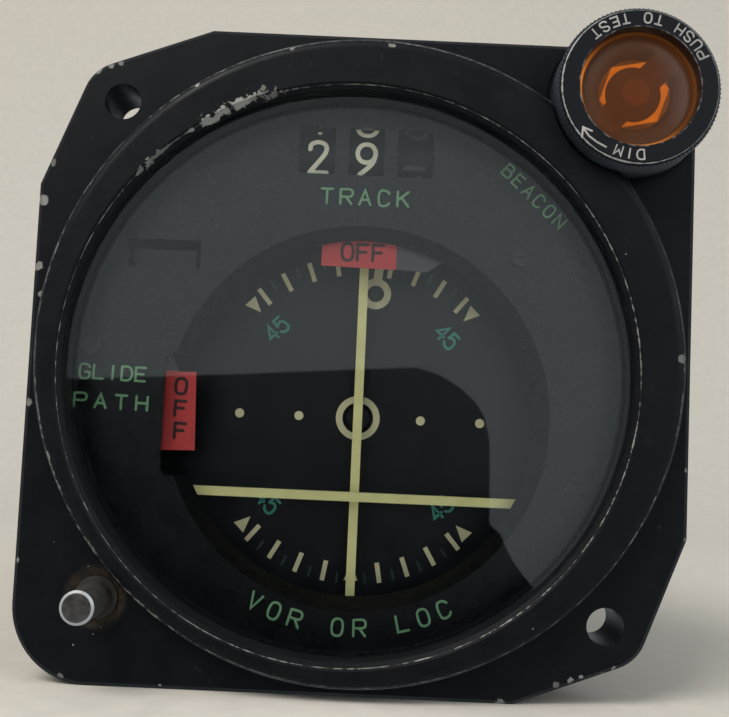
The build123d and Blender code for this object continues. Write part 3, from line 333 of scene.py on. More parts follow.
# Angle round the ring, in degrees from the right, and the wear there as a share of its full width
OUTER_EDGE_WEAR = (
    (0, 0.3), (3, 0.1), (52, 0.08), (54, 0.34), (57, 0.08), (74, 0.3), (88, 0.3), (90, 0.1),
    (101, 0.36), (108, 0.36), (110, 0.12), (119, 0.4), (122, 0.12), (131, 0.36), (138, 0.36), (140, 0.12),
    (150, 0.36), (153, 0.12), (162, 0.36), (168, 0.3), (171, 0.12), (192, 0.3), (195, 0.62), (219, 0.62),
    (223, 0.22), (226, 0.5), (242, 0.45), (248, 0.16), (300, 0.12), (356, 0.35),
)
INNER_EDGE_WEAR = (
    (0, 0.12), (70, 0.06), (95, 0.08), (105, 0.15), (107, 0.8), (112, 1.0), (123, 1.0), (126, 0.1),
    (131, 0.1), (133, 0.6), (138, 0.6), (140, 0.06), (200, 0.05), (262, 0.08), (300, 0.09), (330, 0.09),
)
OUTER_WEAR_WIDTH = 0.45
INNER_WEAR_WIDTH = 0.95
CHIP_EDGE = 0.03

# Chips of the paint: pixel of the photograph and radius in millimetres
FLANGE_CHIPS = (
    (499, 704, 0.7), (556, 686, 0.5), (570, 681, 0.5), (581, 677, 0.35), (604, 675, 0.5), (614, 669, 0.4),
    (98, 70, 0.6), (110, 65, 0.45), (122, 62, 0.5), (43, 200, 0.7), (53, 161, 0.6), (38, 266, 0.7),
    (42, 293, 0.5), (37, 375, 0.4), (28, 402, 0.6), (20, 470, 0.3), (17, 560, 0.35), (60, 676, 0.4),
    (160, 686, 0.3), (330, 697, 0.35), (688, 470, 0.4), (687, 540, 0.35), (118, 503, 0.12), (91, 510, 0.1),
    (54, 542, 0.12), (88, 566, 0.1), (101, 627, 0.12), (93, 634, 0.1), (73, 645, 0.14),
)
RING_CHIPS = (
    (263, 88, 0.4), (267, 46, 0.5), (291, 47, 0.45), (392, 45, 0.4), (425, 44, 0.35), (684, 359, 0.65),
    (687, 384, 0.5), (320, 664, 0.22), (368, 665, 0.2), (533, 629, 0.16), (503, 682, 0.14),
    (626, 254, 0.16), (148, 176, 0.35), (160, 167, 0.3), (197, 83, 0.4), (137, 125, 0.45),
)
FLANGE_FACE = 0.0


def round_wear(shade, center, radius, depth, stops, full_width, ragged):
    """Mask of wear along a round edge, its width following the stops round the circle."""
    gap = shade.from_circle(*center, radius, depth)
    turn = shade.math("DIVIDE", shade.angle_about(*center), 2 * math.pi)
    turn = shade.math("FRACT", shade.math("ADD", turn, 1.0))
    ramp = shade.node("ValToRGB", Fac=turn)
    elements = ramp.color_ramp.elements
    elements[0].color = elements[1].color = (stops[0][1],) * 3 + (1.0,)
    for angle, share in stops[1:]:
        elements.new(angle / 360.0).color = (share, share, share, 1.0)
    width = shade.multiply(ramp.outputs[0], full_width * MM)
    width = shade.multiply(width, shade.ramp(ragged, 0.42, 0.62, 0.0, 1.2))
    return shade.fade(shade.subtract(width, gap), -CHIP_EDGE, CHIP_EDGE)


def chip_mask(shade, ragged):
    """Mask of single chips, each a ragged spot about the place where the photograph shows it."""
    mask = 0.0
    bend = shade.ramp(ragged, 0.3, 0.7, 0.45, 1.3)
    chips = [(*chip, FLANGE_FACE) for chip in FLANGE_CHIPS] + [(*chip, ring_face) for chip in RING_CHIPS]
    for u, v, radius, depth in chips:
        x, y = seen_at(u, v, depth)
        gap = shade.vector_math("DISTANCE", shade.place, at(x, y, depth))
        inside = shade.subtract(shade.multiply(bend, radius * MM), gap)
        mask = shade.larger(mask, shade.fade(inside, -0.02, CHIP_EDGE))
    return mask


def edge_mask(shade, radius, ragged, low, high):
    """Mask of sharp edges, broken up by a ragged noise."""
    softened = shade.node("Bevel", {"samples": 4}, Radius=radius * MM).outputs[0]
    true_normal = shade.node("NewGeometry").outputs["Normal"]
    sharp = shade.ramp(shade.vector_math("DOT_PRODUCT", softened, true_normal), 0.97, 0.80)
    return shade.multiply(sharp, shade.ramp(ragged, low, high))


def scratch_mask(shade, amount):
    """Thin scratches: stretched noise, cut to its highest ridges."""
    lean = shade.math("ADD", shade.multiply(shade.across, 60.0), shade.multiply(shade.up, 420.0))
    sideways, upward = shade.multiply(shade.across, 900.0), shade.multiply(shade.up, 90.0)
    ridges = shade.noise_along(lean, sideways, upward, 1.6)
    patch = shade.mottle(90.0, 2.0, low=0.55, high=0.75)
    return shade.multiply(shade.ramp(ridges, 0.68, 0.72, 0.0, amount), patch)


def casting_paint():
    """Black paint over aluminium, rubbed and chipped, with dust in its grain."""
    shade = Shade("worn_black_casting")
    ragged = shade.noise(900.0, 5.0, 0.7)
    coarse = shade.noise(170.0, 4.0)
    dust = shade.mottle(420.0, 6.0, 0.7, 0.48, 0.85)
    paint = shade.mix(shade.multiply(dust, 0.55), BLACK_PAINT, DUSTY_PAINT)
    corner = EDGE_ROUND * (1.0 - math.sqrt(0.5))
    outer = round_wear(
        shade, (0, 0), RING_RADIUS - corner, ring_face + corner, OUTER_EDGE_WEAR, OUTER_WEAR_WIDTH, ragged
    )
    bore = (glass_x, glass_y)
    inner = round_wear(
        shade, bore, OPENING_RADIUS + 0.5, ring_face + 0.3, INNER_EDGE_WEAR, INNER_WEAR_WIDTH, ragged
    )
    chips = chip_mask(shade, ragged)
    edges = edge_mask(shade, 0.22, ragged, 0.64, 0.76)
    worn = shade.larger(shade.multiply(outer, 0.7), shade.multiply(edges, 0.5))
    bare = shade.larger(shade.larger(worn, inner), chips)
    metal = shade.mix(shade.ramp(coarse, 0.4, 0.6), BARE, toned(BARE, 0.5))
    color = shade.mix(scratch_mask(shade, 0.35), paint, SCRATCHED_PAINT)
    color = shade.mix(bare, color, metal)
    color = shade.mix(bush_rust(shade, ragged), color, RUST)
    grains = shade.multiply(shade.noise(1500.0, 4.0), 0.10)
    height = shade.subtract(grains, shade.multiply(bare, 0.9))
    return shade.surface(
        Base_Color=color,
        Metallic=shade.multiply(bare, 0.5),
        Roughness=shade.blend(bare, shade.ramp(coarse, 0.3, 0.7, 0.36, 0.52), 0.5),
        Specular_IOR_Level=CASTING_SHINE,
        Normal=shade.bump(height, 0.06, 0.9),
    )


def bush_rust(shade, ragged):
    """Mask of the brown stain round the shaft's bush."""
    rust = shade.fade(shade.from_axis(shaft_x, shaft_y), 4.2, 3.2)
    front = shade.fade(shade.deep, 1.2, 0.8)
    return shade.multiply(shade.multiply(rust, front), shade.ramp(ragged, 0.3, 0.6, 0.2, 0.9))


def case_paint():
    """Black paint of the rear case: smoother, with rubbed edges."""
    shade = Shade("black_case")
    ragged = shade.noise(700.0, 5.0, 0.7)
    dust = shade.mottle(300.0, 6.0, 0.7, 0.5, 0.85)
    edges = edge_mask(shade, 0.4, ragged, 0.54, 0.66)
    color = shade.mix(shade.multiply(dust, 0.5), BLACK_PAINT, DUSTY_PAINT)
    color = shade.mix(scratch_mask(shade, 0.4), color, SCRATCHED_CASE)
    color = shade.mix(edges, color, BARE)
    return shade.surface(
        Base_Color=color,
        Metallic=shade.multiply(edges, 0.5),
        Roughness=shade.ramp(shade.noise(120.0), 0.3, 0.7, 0.40, 0.45),
        Specular_IOR_Level=0.35,
        Normal=grain(shade, 0.5, 0.012),
    )


# Shaft: clean and stained colour of its sides, of its end, and the colour of its rubbed rim
SHAFT_SIDE = ((0.16, 0.155, 0.15), (0.060, 0.054, 0.048))
SHAFT_END = ((0.080, 0.073, 0.068), (0.045, 0.041, 0.038))
SHAFT_RIM = (0.50, 0.50, 0.50)
SHAFT_RIM_INSET = 0.12


def shaft_metal():
    """Dull turned steel: dark stained sides, a grey worn end and a bright rubbed rim."""
    shade = Shade("shaft_steel")
    stain = shade.mottle(600.0, 5.0, 0.7, 0.35)
    spots = shade.mottle(900.0, 5.0, 0.7, 0.4, 0.65)
    tip = shade.fade(shade.deep, shaft_tip + 0.45, shaft_tip + 0.3)
    base = shade.mix(tip, shade.mix(stain, *SHAFT_SIDE), shade.mix(spots, *SHAFT_END))
    rim = shade.from_circle(
        shaft_x, shaft_y, SHAFT_TIP_RADIUS - SHAFT_RIM_INSET, shaft_tip + SHAFT_RIM_INSET
    )
    return shade.surface(
        Base_Color=shade.mix(shade.fade(rim, 0.30, 0.16), base, SHAFT_RIM),
        Metallic=0.75,
        Roughness=shade.blend(stain, 0.36, 0.6),
        Normal=shade.bump(shade.lathe_marks(5000.0), 0.012, 0.6),
    )


GLASS_IOR = 1.5
GLASS_ROUGHNESS = 0.02
GLASS_MIRROR = 0.87


def clear_glass(name, tint, strength=1.0):
    """Flat glass: what is behind shows through unbent, and its face mirrors the room."""
    shade = Shade(name)
    see = shade.shader("BsdfTransparent", Color=tint)
    mirror = shade.shader("BsdfGlossy", Color=(1.0, 1.0, 1.0), Roughness=GLASS_ROUGHNESS)
    share = shade.multiply(shade.node("Fresnel", IOR=GLASS_IOR).outputs[0], strength)
    return shade.finished(shade.layered(share, see, mirror))


# Lamp: colours of its parts, where its lens glows and where its cap is rubbed, in degrees from the right

LENS_TINT = (0.96, 0.66, 0.26)
LENS_EDGE_TINT = (0.70, 0.34, 0.10)
LENS_BODY = (0.13, 0.050, 0.018)
LENS_LIT = (0.75, 0.26, 0.04)
LENS_GLOW = 0.45
LENS_GLOW_ANGLE = 225.0
LENS_MIRROR = 0.12
DIFFUSER = ((0.85, 0.62, 0.22), (0.75, 0.50, 0.16))
SHUTTER = ((0.075, 0.040, 0.026), (0.050, 0.026, 0.018))
SHUTTER_MIDDLE = (0.145, 0.085, 0.055)
CAP_PAINT = (0.0036, 0.0040, 0.0060)
CAP_DUST = (0.0110, 0.0120, 0.0160)
CAP_METAL = (0.40, 0.39, 0.38)
CAP_INSIDE = (0.030, 0.013, 0.007)
CAP_WEAR = 0.11
CAP_WEAR_ANGLE = 205.0


def toward(shade, angle):
    """Cosine of the angle round the lamp, measured from a given direction in degrees."""
    turn = shade.angle_about(lamp_x, lamp_y)
    return shade.math("COSINE", shade.subtract(turn, math.radians(angle)))


def amber_lens():
    """Aged amber lens: brown and clear in its middle, glowing orange in a thin line at its edge."""
    shade = Shade("amber_lens")
    far = shade.from_axis(lamp_x, lamp_y)
    edge = shade.fade(far, 5.6, LENS_RADIUS)
    see = shade.shader("BsdfTransparent", Color=shade.mix(edge, LENS_TINT, LENS_EDGE_TINT))
    glow_side = shade.ramp(toward(shade, LENS_GLOW_ANGLE), -0.2, 0.7, 0.12, 1.0)
    line = shade.math("ABSOLUTE", shade.subtract(far, (LENS_RADIUS - 0.3) * MM))
    glow = shade.multiply(shade.fade(line, 0.3, 0.08), glow_side)
    body = shade.shader(
        "BsdfPrincipled",
        Base_Color=shade.mix(glow, LENS_BODY, LENS_LIT),
        Roughness=0.3,
        Emission_Color=(1.0, 0.30, 0.03),
        Emission_Strength=shade.multiply(glow, LENS_GLOW),
    )
    cloudy = shade.fade(far, 4.0, 7.2, 0.22, 0.55)
    inner = shade.layered(shade.larger(shade.multiply(glow, 0.8), cloudy), see, body)
    mirror = shade.shader("BsdfGlossy", Color=(0.9, 0.92, 1.0), Roughness=0.14)
    share = shade.multiply(shade.node("Fresnel", IOR=1.49).outputs[0], LENS_MIRROR)
    return shade.finished(shade.layered(share, inner, mirror))


def lit_diffuser():
    """Pale plate under the lens, with a faint glow for the light that it catches."""
    shade = Shade("pale_diffuser")
    mottle = shade.mottle(300.0, 4.0)
    return shade.surface(
        Base_Color=shade.mix(mottle, *DIFFUSER),
        Roughness=0.4,
        Emission_Color=(1.0, 0.50, 0.06),
        Emission_Strength=shade.blend(mottle, 0.62, 0.48),
        Normal=grain(shade, 0.4, 0.01),
    )


def shutter_paint():
    """Dark brown disc of the dimmer with a paler worn middle."""
    shade = Shade("shutter_brown")
    far = shade.from_axis(lamp_x, lamp_y)
    brown = shade.mix(shade.mottle(700.0, 4.0, 0.6), *SHUTTER)
    color = shade.mix(shade.fade(far, 1.9, 1.5), brown, SHUTTER_MIDDLE)
    return shade.surface(Base_Color=color, Roughness=0.45, Normal=grain(shade, 0.4, 0.01))


def cap_rim(shade, far, ragged):
    """Mask of bare metal on the cap: its outer rim, most at the lower left, and its inner lip."""
    gap = shade.from_circle(lamp_x, lamp_y, lamp_radius - 0.25, lamp_front + 0.2)
    share = shade.ramp(toward(shade, CAP_WEAR_ANGLE), -0.2, 0.7, 0.35, 1.0)
    width = shade.multiply(share, CAP_WEAR * MM)
    width = shade.multiply(width, shade.ramp(ragged, 0.33, 0.6, 0.3, 1.2))
    rim = shade.fade(shade.subtract(width, gap), -CHIP_EDGE, CHIP_EDGE)
    lip_gap = shade.math("ABSOLUTE", shade.subtract(far, (LENS_RADIUS + 0.06) * MM))
    lip = shade.multiply(shade.fade(lip_gap, 0.12, 0.04), shade.ramp(ragged, 0.46, 0.62))
    return shade.larger(rim, shade.multiply(lip, 0.35))


def cap_paint():
    """Blue-black anodised lamp cap with a rubbed rim."""
    shade = Shade("lamp_cap_black")
    far = shade.from_axis(lamp_x, lamp_y)
    bare = cap_rim(shade, far, shade.noise(1100.0, 5.0, 0.7))
    inside = shade.fade(far, LENS_RADIUS + 0.05, LENS_RADIUS - 0.01, 0.0, 0.8)
    dust = shade.mottle(500.0, 6.0, 0.7, 0.5, 0.85)
    color = shade.mix(shade.multiply(dust, 0.6), CAP_PAINT, CAP_DUST)
    color = shade.mix(bare, color, CAP_METAL)
    return shade.surface(
        Base_Color=shade.mix(inside, color, CAP_INSIDE),
        Metallic=shade.multiply(bare, 0.5),
        Roughness=shade.blend(bare, 0.36, 0.45),
        Specular_IOR_Level=0.18,
        Normal=grain(shade, 0.35, 0.012),
    )


# Colours read off the photograph
LEGEND_GREEN = (0.22, 0.45, 0.24)
NUMERAL_TEAL = (0.05, 0.30, 0.24)
DIM_GREEN = (0.022, 0.060, 0.050)
CREAM = (0.85, 0.79, 0.50)
NEEDLE_YELLOW = (0.98, 0.91, 0.42)
FLAG_RED = (0.75, 0.060, 0.060)
FLAG_INK = (0.055, 0.014, 0.016)
ARM_GREY = (0.085, 0.083, 0.082)
DIAL_BLACK = (0.0022, 0.0027, 0.0045)
MASK_BLACK = (0.0032, 0.0038, 0.0052)
OLD_WHITE = (0.27, 0.26, 0.25)

# Ends of the flags' red blades, start of the pointer's cream, and the to-from window's middle and size
COURSE_FLAG_RED = (-5.75, 4.15)
GLIDE_FLAG_TOP = -2.0
POINTER_BLACK = (0.006, 0.0065, 0.008)
POINTER_CREAM_FROM = 15.05
PAINT_EDGE = 0.05
VANE_WINDOW = (-25.9, 12.95)
VANE_WINDOW_SIZE = (9.4, 3.8)
VANE_SHADOW = (0.0008, 0.0008, 0.0010)


def flag_paint(name, inside):
    """Red enamel on a flag's blade, over the dark arm that carries it; inside marks the blade."""
    shade = Shade(name)
    mottle = shade.mottle()
    red = shade.mix(mottle, toned(FLAG_RED, 0.9), FLAG_RED)
    return shade.surface(
        Base_Color=shade.mix(inside(shade), ARM_GREY, red),
        Roughness=shade.blend(mottle, 0.5, 0.62),
        Normal=grain(shade, 0.5, 0.01),
    )


def course_blade(shade):
    """Mask of the course flag's blade, between its left and right ends."""
    start, end = COURSE_FLAG_RED
    left = shade.fade(shade.across, start - PAINT_EDGE, start)
    right = shade.fade(shade.across, end + PAINT_EDGE, end)
    return shade.multiply(left, right)


def glide_blade(shade):
    """Mask of the glide flag's blade, below its arm."""
    return shade.fade(shade.up, GLIDE_FLAG_TOP + PAINT_EDGE, GLIDE_FLAG_TOP)


def cream_with_painted_glow():
    """Cream paint of the counter's numerals, with a faint painted glow that makes them brighter than the
    light falling in their shaded recess.
    """
    shade = Shade("numeral_cream_painted_glow")
    mottle = shade.mottle(400.0)
    return shade.surface(
        Base_Color=shade.mix(mottle, (0.88, 0.85, 0.66), (0.97, 0.94, 0.76)),
        Roughness=0.6,
        # Painted glow, standing in for light that the recessed drums don't get
        Emission_Color=(0.90, 0.86, 0.66),
        Emission_Strength=shade.blend(mottle, 0.10, 0.16),
    )


def pointer_paint():
    """Heading pointer: black arm and hub, cream ring and tail."""
    shade = Shade("pointer_paint")
    far = shade.from_axis(dial_x, dial_y)
    bright = shade.fade(far, POINTER_CREAM_FROM - PAINT_EDGE, POINTER_CREAM_FROM)
    cream = shade.mix(shade.mottle(), toned(CREAM, 0.88), CREAM)
    return shade.surface(
        Base_Color=shade.mix(bright, POINTER_BLACK, cream),
        Roughness=0.6,
        Specular_IOR_Level=0.4,
        Normal=grain(shade, 0.3, 0.004),
    )


def vane_paint():
    """Mask-coloured vane, dark where the top and right edge of its window shade it."""
    shade = Shade("vane_black")
    slot_right = VANE_WINDOW[0] + VANE_WINDOW_SIZE[0] / 2
    slot_top = VANE_WINDOW[1] + VANE_WINDOW_SIZE[1] / 2
    right = shade.fade(shade.across, slot_right - 1.0, slot_right - 0.85)
    top = shade.fade(shade.up, slot_top - 1.0, slot_top - 0.9)
    dark = shade.larger(right, top)
    return shade.surface(
        Base_Color=shade.mix(dark, MASK_BLACK, VANE_SHADOW),
        Roughness=shade.blend(dark, 0.2, 0.6),
        Specular_IOR_Level=shade.blend(dark, 0.42, 0.02),
    )


# Paints and plastics: material, colour, roughness, mottle, grain's size and its depth in millimetres
PAINTS = {
    "knurl": ("knurl_blue_black", (0.0055, 0.0080, 0.0150), 0.3, 0.3, 0.5, 0.004),
    "clamp": ("dark_grey_anodised", (0.035, 0.038, 0.040), 0.45),
    "cream": ("cream_ink", CREAM, 0.6, 0.10, 0.2, 0.01),
    "faded": ("faded_ink", (0.060, 0.060, 0.058), 0.7, 0.5, 0.4, 0.01),
    "green": ("green_ink", LEGEND_GREEN, 0.6, 0.12, 0.2, 0.01),
    "teal": ("teal_ink", NUMERAL_TEAL, 0.6, 0.12, 0.2, 0.01),
    "dim_green": ("dim_green_ink", DIM_GREEN, 0.6, 0.12, 0.2, 0.01),
    "needle": ("needle_yellow", NEEDLE_YELLOW, 0.5, 0.06, 0.6, 0.01),
    "flag_ink": ("flag_ink", FLAG_INK, 0.6, 0.1, 0.2, 0.01),
    "white_ink": ("white_ink", OLD_WHITE, 0.6, 0.3, 0.25, 0.01),
    "blackened": ("blackened_steel", (0.022, 0.023, 0.024), 0.38, 0.4, 0.3, 0.015),
    "rubber": ("black_rubber", (0.012, 0.012, 0.012), 0.8, 0.3, 0.3, 0.03),
    "insert": ("insert_rubber", (0.03, 0.05, 0.035), 0.7, 0.3, 0.3, 0.02),
    "bakelite": ("black_moulding", (0.014, 0.013, 0.012), 0.4, 0.3, 0.6, 0.01),
    "olive": ("olive_anodised", (0.10, 0.105, 0.075), 0.42, 0.2),
}

# Metals: material, colour, roughness, and whether a lathe made it
METALS = {
    "aluminium": ("milled_aluminium", (0.66, 0.67, 0.68), 0.38),
    "steel": ("plain_steel", (0.52, 0.51, 0.50), 0.32, True),
    "brass": ("dull_brass", (0.60, 0.44, 0.20), 0.34),
    "bush": ("worn_bush", (0.085, 0.072, 0.062), 0.5, True),
    "gilt": ("gilt_contact", (0.86, 0.64, 0.28), 0.25),
    "plated": ("dull_plating", (0.45, 0.44, 0.40), 0.42, True),
    "magnet": ("ground_magnet", (0.20, 0.20, 0.21), 0.45, True),
}

looks = {
    "casting": casting_paint(),
    "case": case_paint(),
    "shaft": shaft_metal(),
    "glass": clear_glass("cover_glass_clear", (0.97, 0.98, 0.98), GLASS_MIRROR),
    "bulb_glass": clear_glass("bulb_glass", (0.96, 0.95, 0.92)),
    "amber": amber_lens(),
    "cap": cap_paint(),
    "mask": satin_black("mask_black", MASK_BLACK, 0.28, 0.45),
    "dial": satin_black("dial_black", DIAL_BLACK, 0.36, 0.40),
    "pointer": pointer_paint(),
    "drum_cream": cream_with_painted_glow(),
    "course_flag": flag_paint("course_flag_red", course_blade),
    "glide_flag": flag_paint("glide_flag_red", glide_blade),
    "vane": vane_paint(),
    "diffuser": lit_diffuser(),
    "shutter": shutter_paint(),
}
looks.update((key, plain_paint(*values)) for key, values in PAINTS.items())
looks.update((key, bare_metal(*values)) for key, values in METALS.items())

nodes_of_look = {
    "casting": "bezel_casting",
    "rubber": "glass_gasket",
    "glass": "cover_glass",
    "clamp": "glass_clamp_ring",
    "mask": "dial_mask front_plate",
    "blackened": "small_screws",
    "brass": (
        "mask_posts dial_spacers course_pinion idler_gear transfer_gear upper_transfer_gear "
        "contrate_pinion cross_shaft bridge_posts lamp_contact"
    ),
    "dial": "dial_plate units_drum tens_drum hundreds_drum",
    "pointer": "heading_pointer",
    "course_flag": "course_flag",
    "glide_flag": "glide_flag",
    "vane": "to_from_vane",
    "bakelite": "flag_meters to_from_meter",
    "needle": "course_needle glide_needle",
    "magnet": "course_magnet glide_magnet",
    "aluminium": "course_frame glide_frame gear_bridge counter_frame mid_plate rear_plate chassis_posts",
    "bush": "course_bush",
    "shaft": "course_shaft",
    "case": "pinion_cover rear_case",
    "steel": "counter_axle plate_screws case_screws connector_screws lamp_spring",
    "olive": "heading_synchro course_resolver connector_shell",
    "insert": "connector_insert",
    "gilt": "connector_pins",
    "plated": "lamp_housing lamp_nut lamp_socket",
    "bulb_glass": "lamp_bulb",
    "diffuser": "lamp_diffuser",
    "cap": "lamp_cap",
    "amber": "lamp_lens",
    "shutter": "dimmer_shutter",
}
SMOOTH_BELOW = math.radians(32)
for look, names in nodes_of_look.items():
    for name in names.split():
        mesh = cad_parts[name].data
        mesh.materials.clear()
        mesh.materials.append(looks[look])
        mesh.shade_smooth()
        mesh.set_sharp_from_angle(angle=SMOOTH_BELOW)


# Building pieces

def add_piece(name, look, body, bm):
    """The faces built in bm as a piece of the object that moves with a body."""
    bmesh.ops.recalc_face_normals(bm, faces=bm.faces)
    mesh = bpy.data.meshes.new(name)
    bm.to_mesh(mesh)
    bm.free()
    mesh.materials.append(looks[look])
    piece = bpy.data.objects.new(name, mesh)
    bpy.context.collection.objects.link(piece)
    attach(piece, body)


def turned(x, y, angle):
    """A place after a turn about the origin by an angle in radians, anticlockwise."""
    c, s = math.cos(angle), math.sin(angle)
    return x * c - y * s, x * s + y * c


def on_plane(depth, x=0.0, y=0.0, turn=0.0):
    """Mapping of a drawing onto a flat face, moved to x, y and turned by an angle in degrees."""
    def place(across, up, height):
        dx, dy = turned(across, up, math.radians(turn))
        return at(x + dx, y + dy, depth - height)

    return place


def on_arc(depth, x, y, radius, middle_angle, inward=False):
    """Mapping that bends a line of writing round a circle; inward letters stand with feet outside."""
    def place(across, up, height):
        side = -1 if inward else 1
        dx, dy = turned(radius + side * up, 0.0, math.radians(middle_angle) - side * across / radius)
        return at(x + dx, y + dy, depth - height)

    return place


def on_drum(x, start):
    """Mapping onto a counter drum centred at x, at an angle up from its nearest line, in degrees."""
    def place(across, up, height):
        angle = math.radians(start) + up / drum_radius
        reach = drum_radius + height
        return at(x + across, drum_y + reach * math.sin(angle), drum_depth - reach * math.cos(angle))

    return place


CORNER_CUTS = 2


def rounded(points, closed):
    """Corner cutting that turns a few points into a smooth stroke."""
    for _ in range(CORNER_CUTS):
        cut = []
        count = len(points)
        for k in range(count if closed else count - 1):
            a, b = points[k], points[(k + 1) % count]
            cut += [a.lerp(b, 0.25), a.lerp(b, 0.75)]
        if not closed:
            cut = [points[0]] + cut[1:-1] + [points[-1]]
        points = cut
    return points


# Strokes of an engraved alphabet, their points on a grid 4 wide and 6 high; "o" is a closed round
# stroke, "c" an open round one and "l" a straight one
GLYPHS = {
    "A": ("l 0,0 2,6 4,0", "l 0.7,2 3.3,2"),
    "B": ("l 0,0 0,6", "c 0,6 3.6,6.2 3.6,3.2 0,3.3", "c 0,3.3 4.3,3.5 4.3,-0.3 0,0"),
    "C": ("c 3.9,4.9 3,6.2 0.4,6.3 -0.1,3 0.4,-0.3 3,-0.2 3.9,1.1",),
    "D": ("l 0,6 0,0", "c 0,0 3.2,-0.2 4.4,3 3.2,6.2 0,6"),
    "E": ("l 3.7,6 0,6 0,0 3.7,0", "l 0,3.1 3,3.1"),
    "F": ("l 3.7,6 0,6 0,0", "l 0,3.1 3,3.1"),
    "G": ("c 3.9,4.9 3,6.2 0.4,6.3 -0.1,3 0.4,-0.3 3.2,-0.3 4,0.8 4,2.7", "l 4,2.7 2.2,2.7"),
    "H": ("l 0,0 0,6", "l 4,0 4,6", "l 0,3.1 4,3.1"),
    "I": ("l 2,0 2,6",),
    "K": ("l 0,0 0,6", "l 3.9,6 0,2.4", "l 1.4,3.6 4,0"),
    "L": ("l 0,6 0,0 3.7,0",),
    "M": ("l 0,0 0,6 2,2.6 4,6 4,0",),
    "N": ("l 0,0 0,6 4,0 4,6",),
    "O": ("o 0.1,1.2 0,4.8 1,6.2 3,6.2 4,4.8 3.9,1.2 3,-0.2 1,-0.2",),
    "P": ("l 0,0 0,6", "c 0,6 4.4,6.3 4.4,2.7 0,2.9"),
    "R": ("l 0,0 0,6", "c 0,6 4.4,6.3 4.4,2.8 0,3", "l 2,3 4,0"),
    "S": ("c 3.8,5 2.8,6.2 0.2,6.2 -0.1,3.8 2,3.2 4.2,2.4 3.9,-0.3 1,-0.3 0.1,1",),
    "T": ("l 0,6 4,6", "l 2,6 2,0"),
    "U": ("l 0,6 0,2", "c 0,2 0.2,-0.4 3.8,-0.4 4,2", "l 4,2 4,6"),
    "V": ("l 0,6 2,0 4,6",),
    "0": ("o 0.1,1.2 0.1,4.8 1.1,6.2 2.9,6.2 3.9,4.8 3.9,1.2 2.9,-0.2 1.1,-0.2",),
    "1": ("l 1,4.9 2.2,6 2.2,0",),
    "2": ("c 0.3,4.6 0.4,5.7 2,6.3 3.7,5.7 3.8,4.2 2.6,2.6 0.3,0", "l 0.3,0 3.9,0"),
    "3": ("l 0.3,6 3.8,6 1.9,3.6", "c 1.9,3.6 4.1,3.6 4.3,-0.3 1.2,-0.3 0,1"),
    "4": ("l 3,0 3,6 0,1.7 4,1.7",),
    "5": ("l 3.7,6 0.5,6 0.3,3.2", "c 0.3,3.2 2.4,4.4 4.2,3 4.1,-0.2 1.2,-0.3 0,0.9"),
    "6": (
        "c 3.3,6 1.5,4.6 0.4,3.4 0.1,1.8",
        "o 0.1,1.1 0.1,2.5 1.1,3.6 2.9,3.6 3.9,2.5 3.9,1.1 2.9,-0.1 1.1,-0.1",
    ),
    "7": ("l 0.1,6 4,6 1.5,0",),
    "8": (
        "o 0.4,3.8 0.3,5.6 1.3,6.2 2.7,6.2 3.7,5.6 3.6,3.8 2.6,3.1 1.4,3.1",
        "o 0,0.8 0,2.6 1.2,3.2 2.8,3.2 4,2.6 4,0.8 2.9,-0.2 1.1,-0.2",
    ),
    "9": (
        "o 3.9,3.5 2.9,2.4 1.1,2.4 0.1,3.5 0.1,4.9 1.1,6.1 2.9,6.1 3.9,4.9",
        "c 3.9,4.2 3.6,2.6 2.5,1.4 0.7,0",
    ),
}
GRID_WIDTH, GRID_HEIGHT = 4.0, 6.0

# Thickness of the ink, and how much higher a letter's next stroke lies so that crossings stay clean
INK_HEIGHT = 0.035
LAYER_STEP = 0.008

# Round end of a stroke: steps ahead of its last point and to its sides, as shares of half its width
ROUND_END = ((0.55, 0.83), (0.9, 0.43))


def stroke_outline(points, half_width, closed):
    """Left and right side points of a stroke, mitred at its corners."""
    left, right = [], []
    count = len(points)
    for k, point in enumerate(points):
        before = points[k - 1] if closed or k > 0 else None
        after = points[(k + 1) % count] if closed or k < count - 1 else None
        into = (point - before).normalized() if before is not None else None
        out = (after - point).normalized() if after is not None else None
        into, out = into or out, out or into
        way = (into + out).normalized()
        side = Vector((-way.y, way.x))
        stretch = 1.0 / max(0.45, side.dot(Vector((-out.y, out.x))))
        left.append(point + side * half_width * stretch)
        right.append(point - side * half_width * stretch)
    return left, right


def end_rows(end, before, half_width):
    """Pairs of side points that round off a stroke beyond its end, left side first."""
    way = (end - before).normalized() * half_width
    side = Vector((-way.y, way.x))
    tips = [(end + way * ahead, side * aside) for ahead, aside in ROUND_END]
    return [(tip + reach, tip - reach) for tip, reach in tips]


def stroke_faces(bm, points, half_width, closed, place, height):
    """One stroke as a raised ribbon with rounded ends."""
    rows = list(zip(*stroke_outline(points, half_width, closed)))
    if not closed:
        start = end_rows(points[0], points[1], half_width)
        rows = [(b, a) for a, b in reversed(start)] + rows + end_rows(points[-1], points[-2], half_width)
    tops = [[bm.verts.new(place(p.x, p.y, height)) for p in row] for row in rows]
    feet = [[bm.verts.new(place(p.x, p.y, 0.0)) for p in row] for row in rows]
    count = len(rows)
    for k in range(count if closed else count - 1):
        n = (k + 1) % count
        bm.faces.new((tops[k][0], tops[k][1], tops[n][1], tops[n][0]))
        bm.faces.new((tops[k][0], tops[n][0], feet[n][0], feet[k][0]))
        bm.faces.new((tops[k][1], feet[k][1], feet[n][1], tops[n][1]))
    if not closed:
        bm.faces.new((tops[0][0], feet[0][0], feet[0][1], tops[0][1]))
        bm.faces.new((tops[-1][0], tops[-1][1], feet[-1][1], feet[-1][0]))


